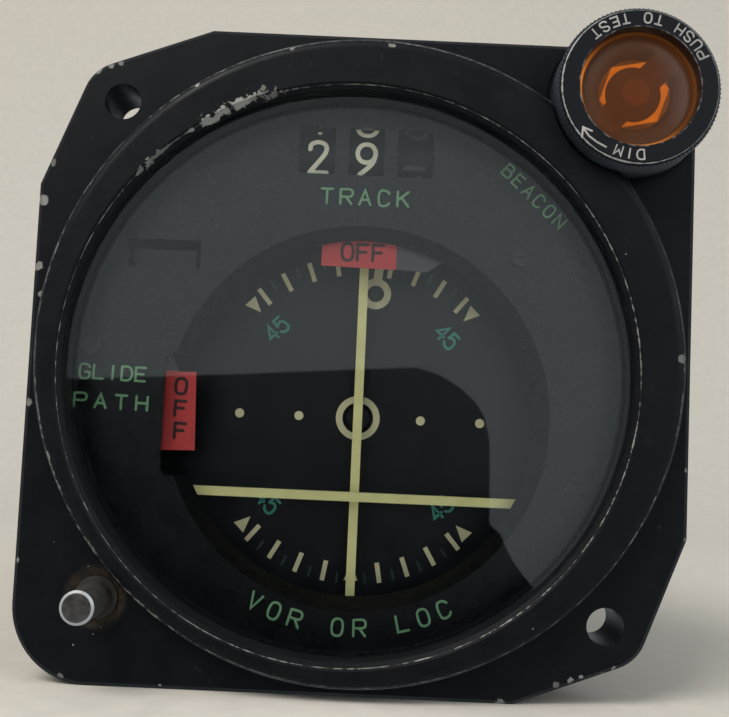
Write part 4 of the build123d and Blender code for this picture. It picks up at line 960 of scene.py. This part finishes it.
def write(bm, text, height, width, pitch, stroke, place):
    """Draws a line of text, centred at the mapping's origin."""
    start = -(len(text) - 1) * pitch / 2
    for index, letter in enumerate(text):
        if letter == " ":
            continue
        middle_x = start + index * pitch
        for layer, glyph in enumerate(GLYPHS[letter]):
            kind, *pairs = glyph.split()
            points = []
            for pair in pairs:
                px, py = (float(number) for number in pair.split(","))
                x, y = (px / GRID_WIDTH - 0.5) * width, (py / GRID_HEIGHT - 0.5) * height
                points.append(Vector((middle_x + x, y)))
            closed = kind == "o"
            if kind != "l":
                points = rounded(points, closed)
            stroke_faces(bm, points, stroke / 2, closed, place, INK_HEIGHT + layer * LAYER_STEP)


def lettering(name, look, body, lines):
    """A piece of raised ink; each line is text, height, width, pitch, stroke and mapping."""
    bm = bmesh.new()
    for text, height, width, pitch, stroke, place in lines:
        write(bm, text, height, width, pitch, stroke, place)
    add_piece(name, look, body, bm)


def ink_piece(name, look, body, outlines, place):
    """A piece made of raised flat patches with the given outlines."""
    bm = bmesh.new()
    for outline in outlines:
        top = [bm.verts.new(place(x, y, INK_HEIGHT)) for x, y in outline]
        foot = [bm.verts.new(place(x, y, 0.0)) for x, y in outline]
        bm.faces.new(top)
        for k in range(len(outline)):
            n = (k + 1) % len(outline)
            bm.faces.new((top[n], top[k], foot[k], foot[n]))
    add_piece(name, look, body, bm)


DISC_SIDES = 24
RING_SIDES = 72


def disc_outline(radius, x):
    """Round outline, its middle moved sideways."""
    corners = [turned(radius, 0.0, 2 * math.pi * k / DISC_SIDES) for k in range(DISC_SIDES)]
    return [(x + across, up) for across, up in corners]


def ring_piece(name, look, body, inner, outer, place):
    """A raised flat ring."""
    bm = bmesh.new()
    rows = []
    for k in range(RING_SIDES):
        angle = 2 * math.pi * k / RING_SIDES
        section = ((inner, 0), (inner, INK_HEIGHT), (outer, INK_HEIGHT), (outer, 0))
        points = [place(*turned(reach, 0.0, angle), height) for reach, height in section]
        rows.append([bm.verts.new(point) for point in points])
    for k in range(RING_SIDES):
        n = (k + 1) % RING_SIDES
        for j in range(len(rows[k]) - 1):
            bm.faces.new((rows[k][j], rows[k][j + 1], rows[n][j + 1], rows[n][j]))
    add_piece(name, look, body, bm)


# Legends on the mask: text, then height, width and pitch of its letters, stroke and mapping

LETTER_HEIGHT = 1.9
SIDE_HEIGHT = 1.72
LETTER_WIDTH = 1.42
STROKE = 0.30
ARC_RADIUS = 26.7

arc_words = on_arc(mask_face, dial_x, dial_y, ARC_RADIUS, 270, True)
legends = [
    ("TRACK", LETTER_HEIGHT, LETTER_WIDTH, 2.47, STROKE, on_plane(mask_face, -0.3, 21.45)),
    ("GLIDE", SIDE_HEIGHT, 1.3, 1.80, STROKE, on_plane(mask_face, -31.57, -2.75, -1.0)),
    ("PATH", SIDE_HEIGHT, LETTER_WIDTH, 2.65, STROKE, on_plane(mask_face, -31.6, -6.45, -1.0)),
    ("BEACON", 1.6, 1.1, 1.86, 0.26, on_plane(mask_face, 21.6, 22.6, -43.0)),
    ("VOR OR LOC", 2.0, LETTER_WIDTH, 2.75, STROKE, arc_words),
]
lettering("mask_legends", "green", "instrument", legends)


# Dial scale

def on_radius(angle, corners):
    """Outline from its corners' reach and offset; the angle is from the top, clockwise."""
    return [turned(reach, aside, math.radians(90 - angle)) for reach, aside in corners]


def bar_outline(angle, inner, outer, width):
    """Straight bar of a scale."""
    half = width / 2
    return on_radius(angle, ((inner, half), (inner, -half), (outer, -half), (outer, half)))


def wedge_outline(angle, inner, outer, width):
    """Pointed mark with its tip inwards."""
    return on_radius(angle, ((inner, 0.0), (outer, -width / 2), (outer, width / 2)))


SCALE_INNER, SCALE_OUTER = 19.7, 22.4
SMALL_INNER = 20.9
WEDGE_OUTER = 21.9
BAR_WIDTH, SMALL_WIDTH, WEDGE_WIDTH = 0.62, 0.32, 1.9
DOT_RADIUS = 0.62
DOT_PLACES = (-16.15, -8.05, 8.55, 16.65)
CENTRE_RING = (2.1, 3.0)
dial_plane = on_plane(dial_face, dial_x, dial_y)
cream_marks, green_marks = [], []
for side in (0, 180):
    for step in range(-40, 41, 10):
        if step:
            cream_marks.append(bar_outline(side + step, SCALE_INNER, SCALE_OUTER, BAR_WIDTH))
    for step in range(-35, 36, 10):
        green_marks.append(bar_outline(side + step, SMALL_INNER, SCALE_OUTER, SMALL_WIDTH))
    for step in (-45, 0, 45):
        cream_marks.append(wedge_outline(side + step, SCALE_INNER, WEDGE_OUTER, WEDGE_WIDTH))
for x in DOT_PLACES:
    cream_marks.append(disc_outline(DOT_RADIUS, x))
ink_piece("dial_scale_marks", "cream", "instrument", cream_marks, dial_plane)
ink_piece("dial_small_marks", "dim_green", "instrument", green_marks, dial_plane)
ring_piece("dial_centre_ring", "cream", "instrument", *CENTRE_RING, dial_plane)

NUMERAL_RADIUS = 16.6
numerals = []
for angle, turn in ((-45, 45), (45, -45), (135, 45), (225, -45)):
    dx, dy = turned(NUMERAL_RADIUS, 0.0, math.radians(90 - angle))
    place = on_plane(dial_face, dial_x + dx, dial_y + dy, turn)
    numerals.append(("45", 2.1, 1.25, 1.72, 0.36, place))
lettering("dial_numerals", "teal", "instrument", numerals)


# Flags and to-from vane

FLAG_STROKE = 0.42
GLIDE_FLAG_X, GLIDE_FLAG_LEAN = -23.2, 0.1
GLIDE_LETTERS_TOP, GLIDE_LETTER_STEP = -3.95, 2.9
course_letters = ("OFF", 2.1, 1.5, 2.05, FLAG_STROKE, on_plane(flag_face, -0.25, 14.75))
lettering("course_flag_letters", "flag_ink", "course_flag", [course_letters])
glide_letters = []
for k, letter in enumerate("OFF"):
    x, y = GLIDE_FLAG_X + GLIDE_FLAG_LEAN * k, GLIDE_LETTERS_TOP - GLIDE_LETTER_STEP * k
    glide_letters.append((letter, 1.9, 1.45, 2.0, FLAG_STROKE, on_plane(flag_face, x, y, -1.5)))
lettering("glide_flag_letters", "flag_ink", "glide_flag", glide_letters)

VANE_PIVOT = (-17.0, 15.6)
VANE_TURN = 24.0


def vane_legend(text, turn):
    """Word on the vane that stands level in its window once the vane has swung by minus turn."""
    dx, dy = turned(VANE_WINDOW[0] - VANE_PIVOT[0], VANE_WINDOW[1] - VANE_PIVOT[1], math.radians(turn))
    place = on_plane(vane_face, VANE_PIVOT[0] + dx, VANE_PIVOT[1] + dy, turn)
    return (text, 1.45, 0.85, 1.2, 0.24, place)


vane_words = [vane_legend("TO", VANE_TURN), vane_legend("FROM", -VANE_TURN)]
lettering("vane_legends", "cream", "to_from_vane", vane_words)


# Counter drums: ten numerals each; the units drum's are worn away where it faces the window

DIGIT_HEIGHT, DIGIT_WIDTH, DIGIT_STROKE = 3.95, 2.5, 0.60
READING_Y = 27.0

# Angles round a drum in degrees: from the numeral shown to its neighbours, and between the others
NEIGHBOUR_TURN = 40.5
OTHERS_STEP = 34.875
BAND_MIDDLE = 3.0


def drum_turn(steps):
    """Angle on a drum of the numeral that many steps from the one shown, in degrees."""
    if steps > 5:
        steps -= 10
    if abs(steps) <= 1:
        return steps * NEIGHBOUR_TURN
    side = 1 if steps > 0 else -1
    return side * (NEIGHBOUR_TURN + (abs(steps) - 1) * OTHERS_STEP)


def drum_numerals(body, x, shown):
    """Ten numerals round a drum, centred at x, with one of them in the window."""
    reading_turn = math.degrees(math.asin((READING_Y - drum_y) / drum_radius))
    sharp, worn = [], []
    for digit in range(10):
        steps = (shown - digit) % 10
        place = on_drum(x, reading_turn + drum_turn(steps))
        faded = body == "units_drum" and steps in (0, 1, 9)
        line = (str(digit), DIGIT_HEIGHT, DIGIT_WIDTH, DIGIT_WIDTH, DIGIT_STROKE, place)
        (worn if faded else sharp).append(line)
    lettering(body + "_numerals", "drum_cream", body, sharp)
    if worn:
        lettering(body + "_worn_numerals", "faded", body, worn)


drum_numerals("hundreds_drum", node_box("hundreds_drum")[0] + BAND_MIDDLE, 2)
drum_numerals("tens_drum", drum_middle, 9)
drum_numerals("units_drum", node_box("units_drum")[0] + BAND_MIDDLE, 4)


# Lamp cap: lettering on its front ring, an arrow, and a knurled grip

RING_MIDDLE = (LENS_RADIUS + lamp_radius) / 2 - 0.08
CAP_STROKE = 0.20
top_words = on_arc(lamp_front, lamp_x, lamp_y, RING_MIDDLE, 81, True)
bottom_word = on_arc(lamp_front, lamp_x, lamp_y, RING_MIDDLE, 262)
cap_words = [
    ("PUSH TO TEST", 1.15, 0.88, 1.37, CAP_STROKE, top_words),
    ("DIM", 1.15, 0.85, 1.35, CAP_STROKE, bottom_word),
]
lettering("lamp_cap_words", "white_ink", "lamp_cap", cap_words)

# Pixels of the photograph along the arrow's shaft and round its head
ARROW_STROKES = (
    ((606, 147), (597, 142), (589, 136), (584, 129)),
    ((582, 137), (583, 127), (592, 131)),
)
ARROW_STROKE = 0.22


def dim_arrow():
    """Curved arrow after the word DIM that shows which way the cap turns."""
    place = on_plane(lamp_front)
    bm = bmesh.new()
    for layer, stroke in enumerate(ARROW_STROKES):
        points = [Vector(seen_at(u, v, lamp_front)) for u, v in stroke]
        stroke_faces(bm, points, ARROW_STROKE / 2, False, place, INK_HEIGHT + layer * LAYER_STEP)
    add_piece("dim_arrow", "white_ink", "lamp_cap", bm)


dim_arrow()

KNURL_HEIGHT = 0.24
KNURL_FOOT = 0.02
KNURL_ROWS, KNURL_COLUMNS = 22, 216


def knurl_reach(row, column):
    """Radius of the grip at a place of its grid: peaks and hollows by turns, plain at both ends."""
    if row in (0, KNURL_ROWS):
        return lamp_radius
    return lamp_radius + (KNURL_HEIGHT if (row + column) % 2 == 0 else KNURL_FOOT)


def knurled_grip():
    """Sleeve of small diamonds round the lamp cap."""
    near, far = lamp_front + 0.55, lamp_rear - 0.1
    bm = bmesh.new()
    rings = []
    for row in range(KNURL_ROWS + 1):
        depth = near + (far - near) * row / KNURL_ROWS
        ring = []
        for k in range(KNURL_COLUMNS):
            dx, dy = turned(knurl_reach(row, k), 0.0, 2 * math.pi * k / KNURL_COLUMNS)
            ring.append(bm.verts.new(at(lamp_x + dx, lamp_y + dy, depth)))
        rings.append(ring)
    for row in range(KNURL_ROWS):
        for k in range(KNURL_COLUMNS):
            n = (k + 1) % KNURL_COLUMNS
            a, b, c, d = rings[row][k], rings[row][n], rings[row + 1][n], rings[row + 1][k]
            corners = ((a, b, d), (b, c, d)) if (row + k) % 2 == 0 else ((a, b, c), (a, c, d))
            for triangle in corners:
                bm.faces.new(triangle)
    add_piece("lamp_knurl", "knurl", "lamp_cap", bm)


knurled_grip()


# Return spring of the lamp


def squeezed_spring():
    """The spring's own mesh as a piece of the instrument, in place of the CAD node."""
    front, rear = node_box("lamp_spring")[4:]
    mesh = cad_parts["lamp_spring"].data.copy()
    spring = bpy.data.objects.new("return_spring", mesh)
    bpy.context.collection.objects.link(spring)
    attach(spring, "instrument")
    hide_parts("lamp_spring")
    at(lamp_x, lamp_y, rear)
    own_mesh(spring)


squeezed_spring()


# Room: pale floor and backdrop, soft light, and what the glass mirrors

def stage_sheet(name, points, faces, material):
    """Sheet of the room, smooth where it has several faces."""
    mesh = bpy.data.meshes.new(name)
    mesh.from_pydata(points, [], faces)
    mesh.shade_smooth()
    mesh.materials.append(material)
    sheet = bpy.data.objects.new(name, mesh)
    bpy.context.collection.objects.link(sheet)
    return sheet


FLOOR_NEAR, FLOOR_FAR = -8.0, 0.30
SWEEP_RADIUS, SWEEP_TOP = 0.40, 1.8
SWEEP_STEPS = 24
HALF_WIDTH = 8.0


def floor_sweep():
    """Pale floor that the instrument lies on, rising behind it in one smooth curve."""
    level = cad_box[0][2]
    profile = [(FLOOR_NEAR, level), (FLOOR_FAR, level)]
    for step in range(1, SWEEP_STEPS + 1):
        angle = math.radians(90.0 * step / SWEEP_STEPS)
        back, rise = math.sin(angle), 1.0 - math.cos(angle)
        profile.append((FLOOR_FAR + SWEEP_RADIUS * back, level + SWEEP_RADIUS * rise))
    profile.append((FLOOR_FAR + SWEEP_RADIUS, SWEEP_TOP))
    points = [(side * HALF_WIDTH, y, z) for y, z in profile for side in (-1, 1)]
    faces = [(2 * k, 2 * k + 1, 2 * k + 3, 2 * k + 2) for k in range(len(profile) - 1)]
    paper = plain_paint("pale_paper", (0.615, 0.568, 0.508), 0.9, 0.03, 3.0, 0.02)
    floor = stage_sheet("floor", points, faces, paper)
    floor.visible_glossy = False


floor_sweep()

# The dark shape of whoever stands before the glass, as the photograph's reflection shows it
DARK_OUTLINE = (
    (20, 380), (230, 374), (330, 370), (417, 367), (443, 376), (462, 389), (477, 403), (485, 418),
    (490, 440), (490, 525), (500, 533), (512, 560), (533, 588), (600, 700), (600, 800), (0, 800),
)
CARD_DEPTH = -620.0


def mirrored(u, v):
    """Point of the card behind the camera that the glass mirrors at pixel u, v."""
    x, y = seen_at(u, v, glass_face)
    eye = Vector((CAMERA_PLACE[0], CAMERA_PLACE[1], 2 * glass_face - CAMERA_PLACE[2]))
    reach = (CARD_DEPTH - eye.z) / (glass_face - eye.z)
    return at(eye.x + (x - eye.x) * reach, eye.y + (y - eye.y) * reach, CARD_DEPTH)


def dark_card():
    """Dark sheet behind the camera, which only the instrument's glass shows."""
    cloth = plain_paint("dark_cloth", (0.003, 0.003, 0.0045), 0.9, 0.2, 3.0, 0.02, 0.2)
    points = [mirrored(u, v) for u, v in DARK_OUTLINE]
    card = stage_sheet("dark_card", points, [range(len(points))], cloth)
    card.visible_camera = False


dark_card()

ROOM_COLOR = (0.84, 0.92, 0.95, 1.0)
ROOM_STRENGTH = 0.62
world = bpy.data.worlds.new("room")
world.use_nodes = True
background = world.node_tree.nodes["Background"]
background.inputs["Color"].default_value = ROOM_COLOR
background.inputs["Strength"].default_value = ROOM_STRENGTH
bpy.context.scene.world = world


def area_light(name, place, size, power, color):
    """Soft square light aimed at the instrument's face."""
    data = bpy.data.lights.new(name, "AREA")
    data.size = size
    data.energy = power
    data.color = color
    light = bpy.data.objects.new(name, data)
    light.location = place
    light.rotation_euler = (-Vector(place)).to_track_quat("-Z", "Y").to_euler()
    bpy.context.collection.objects.link(light)


area_light("window_light", (-0.40, -0.60, 0.70), 0.5, 8.2, (1.0, 0.96, 0.90))
area_light("fill_light", (0.6, -0.5, 0.35), 0.6, 2.0, (0.9, 0.95, 1.0))

bpy.context.scene.view_settings.view_transform = "Standard"
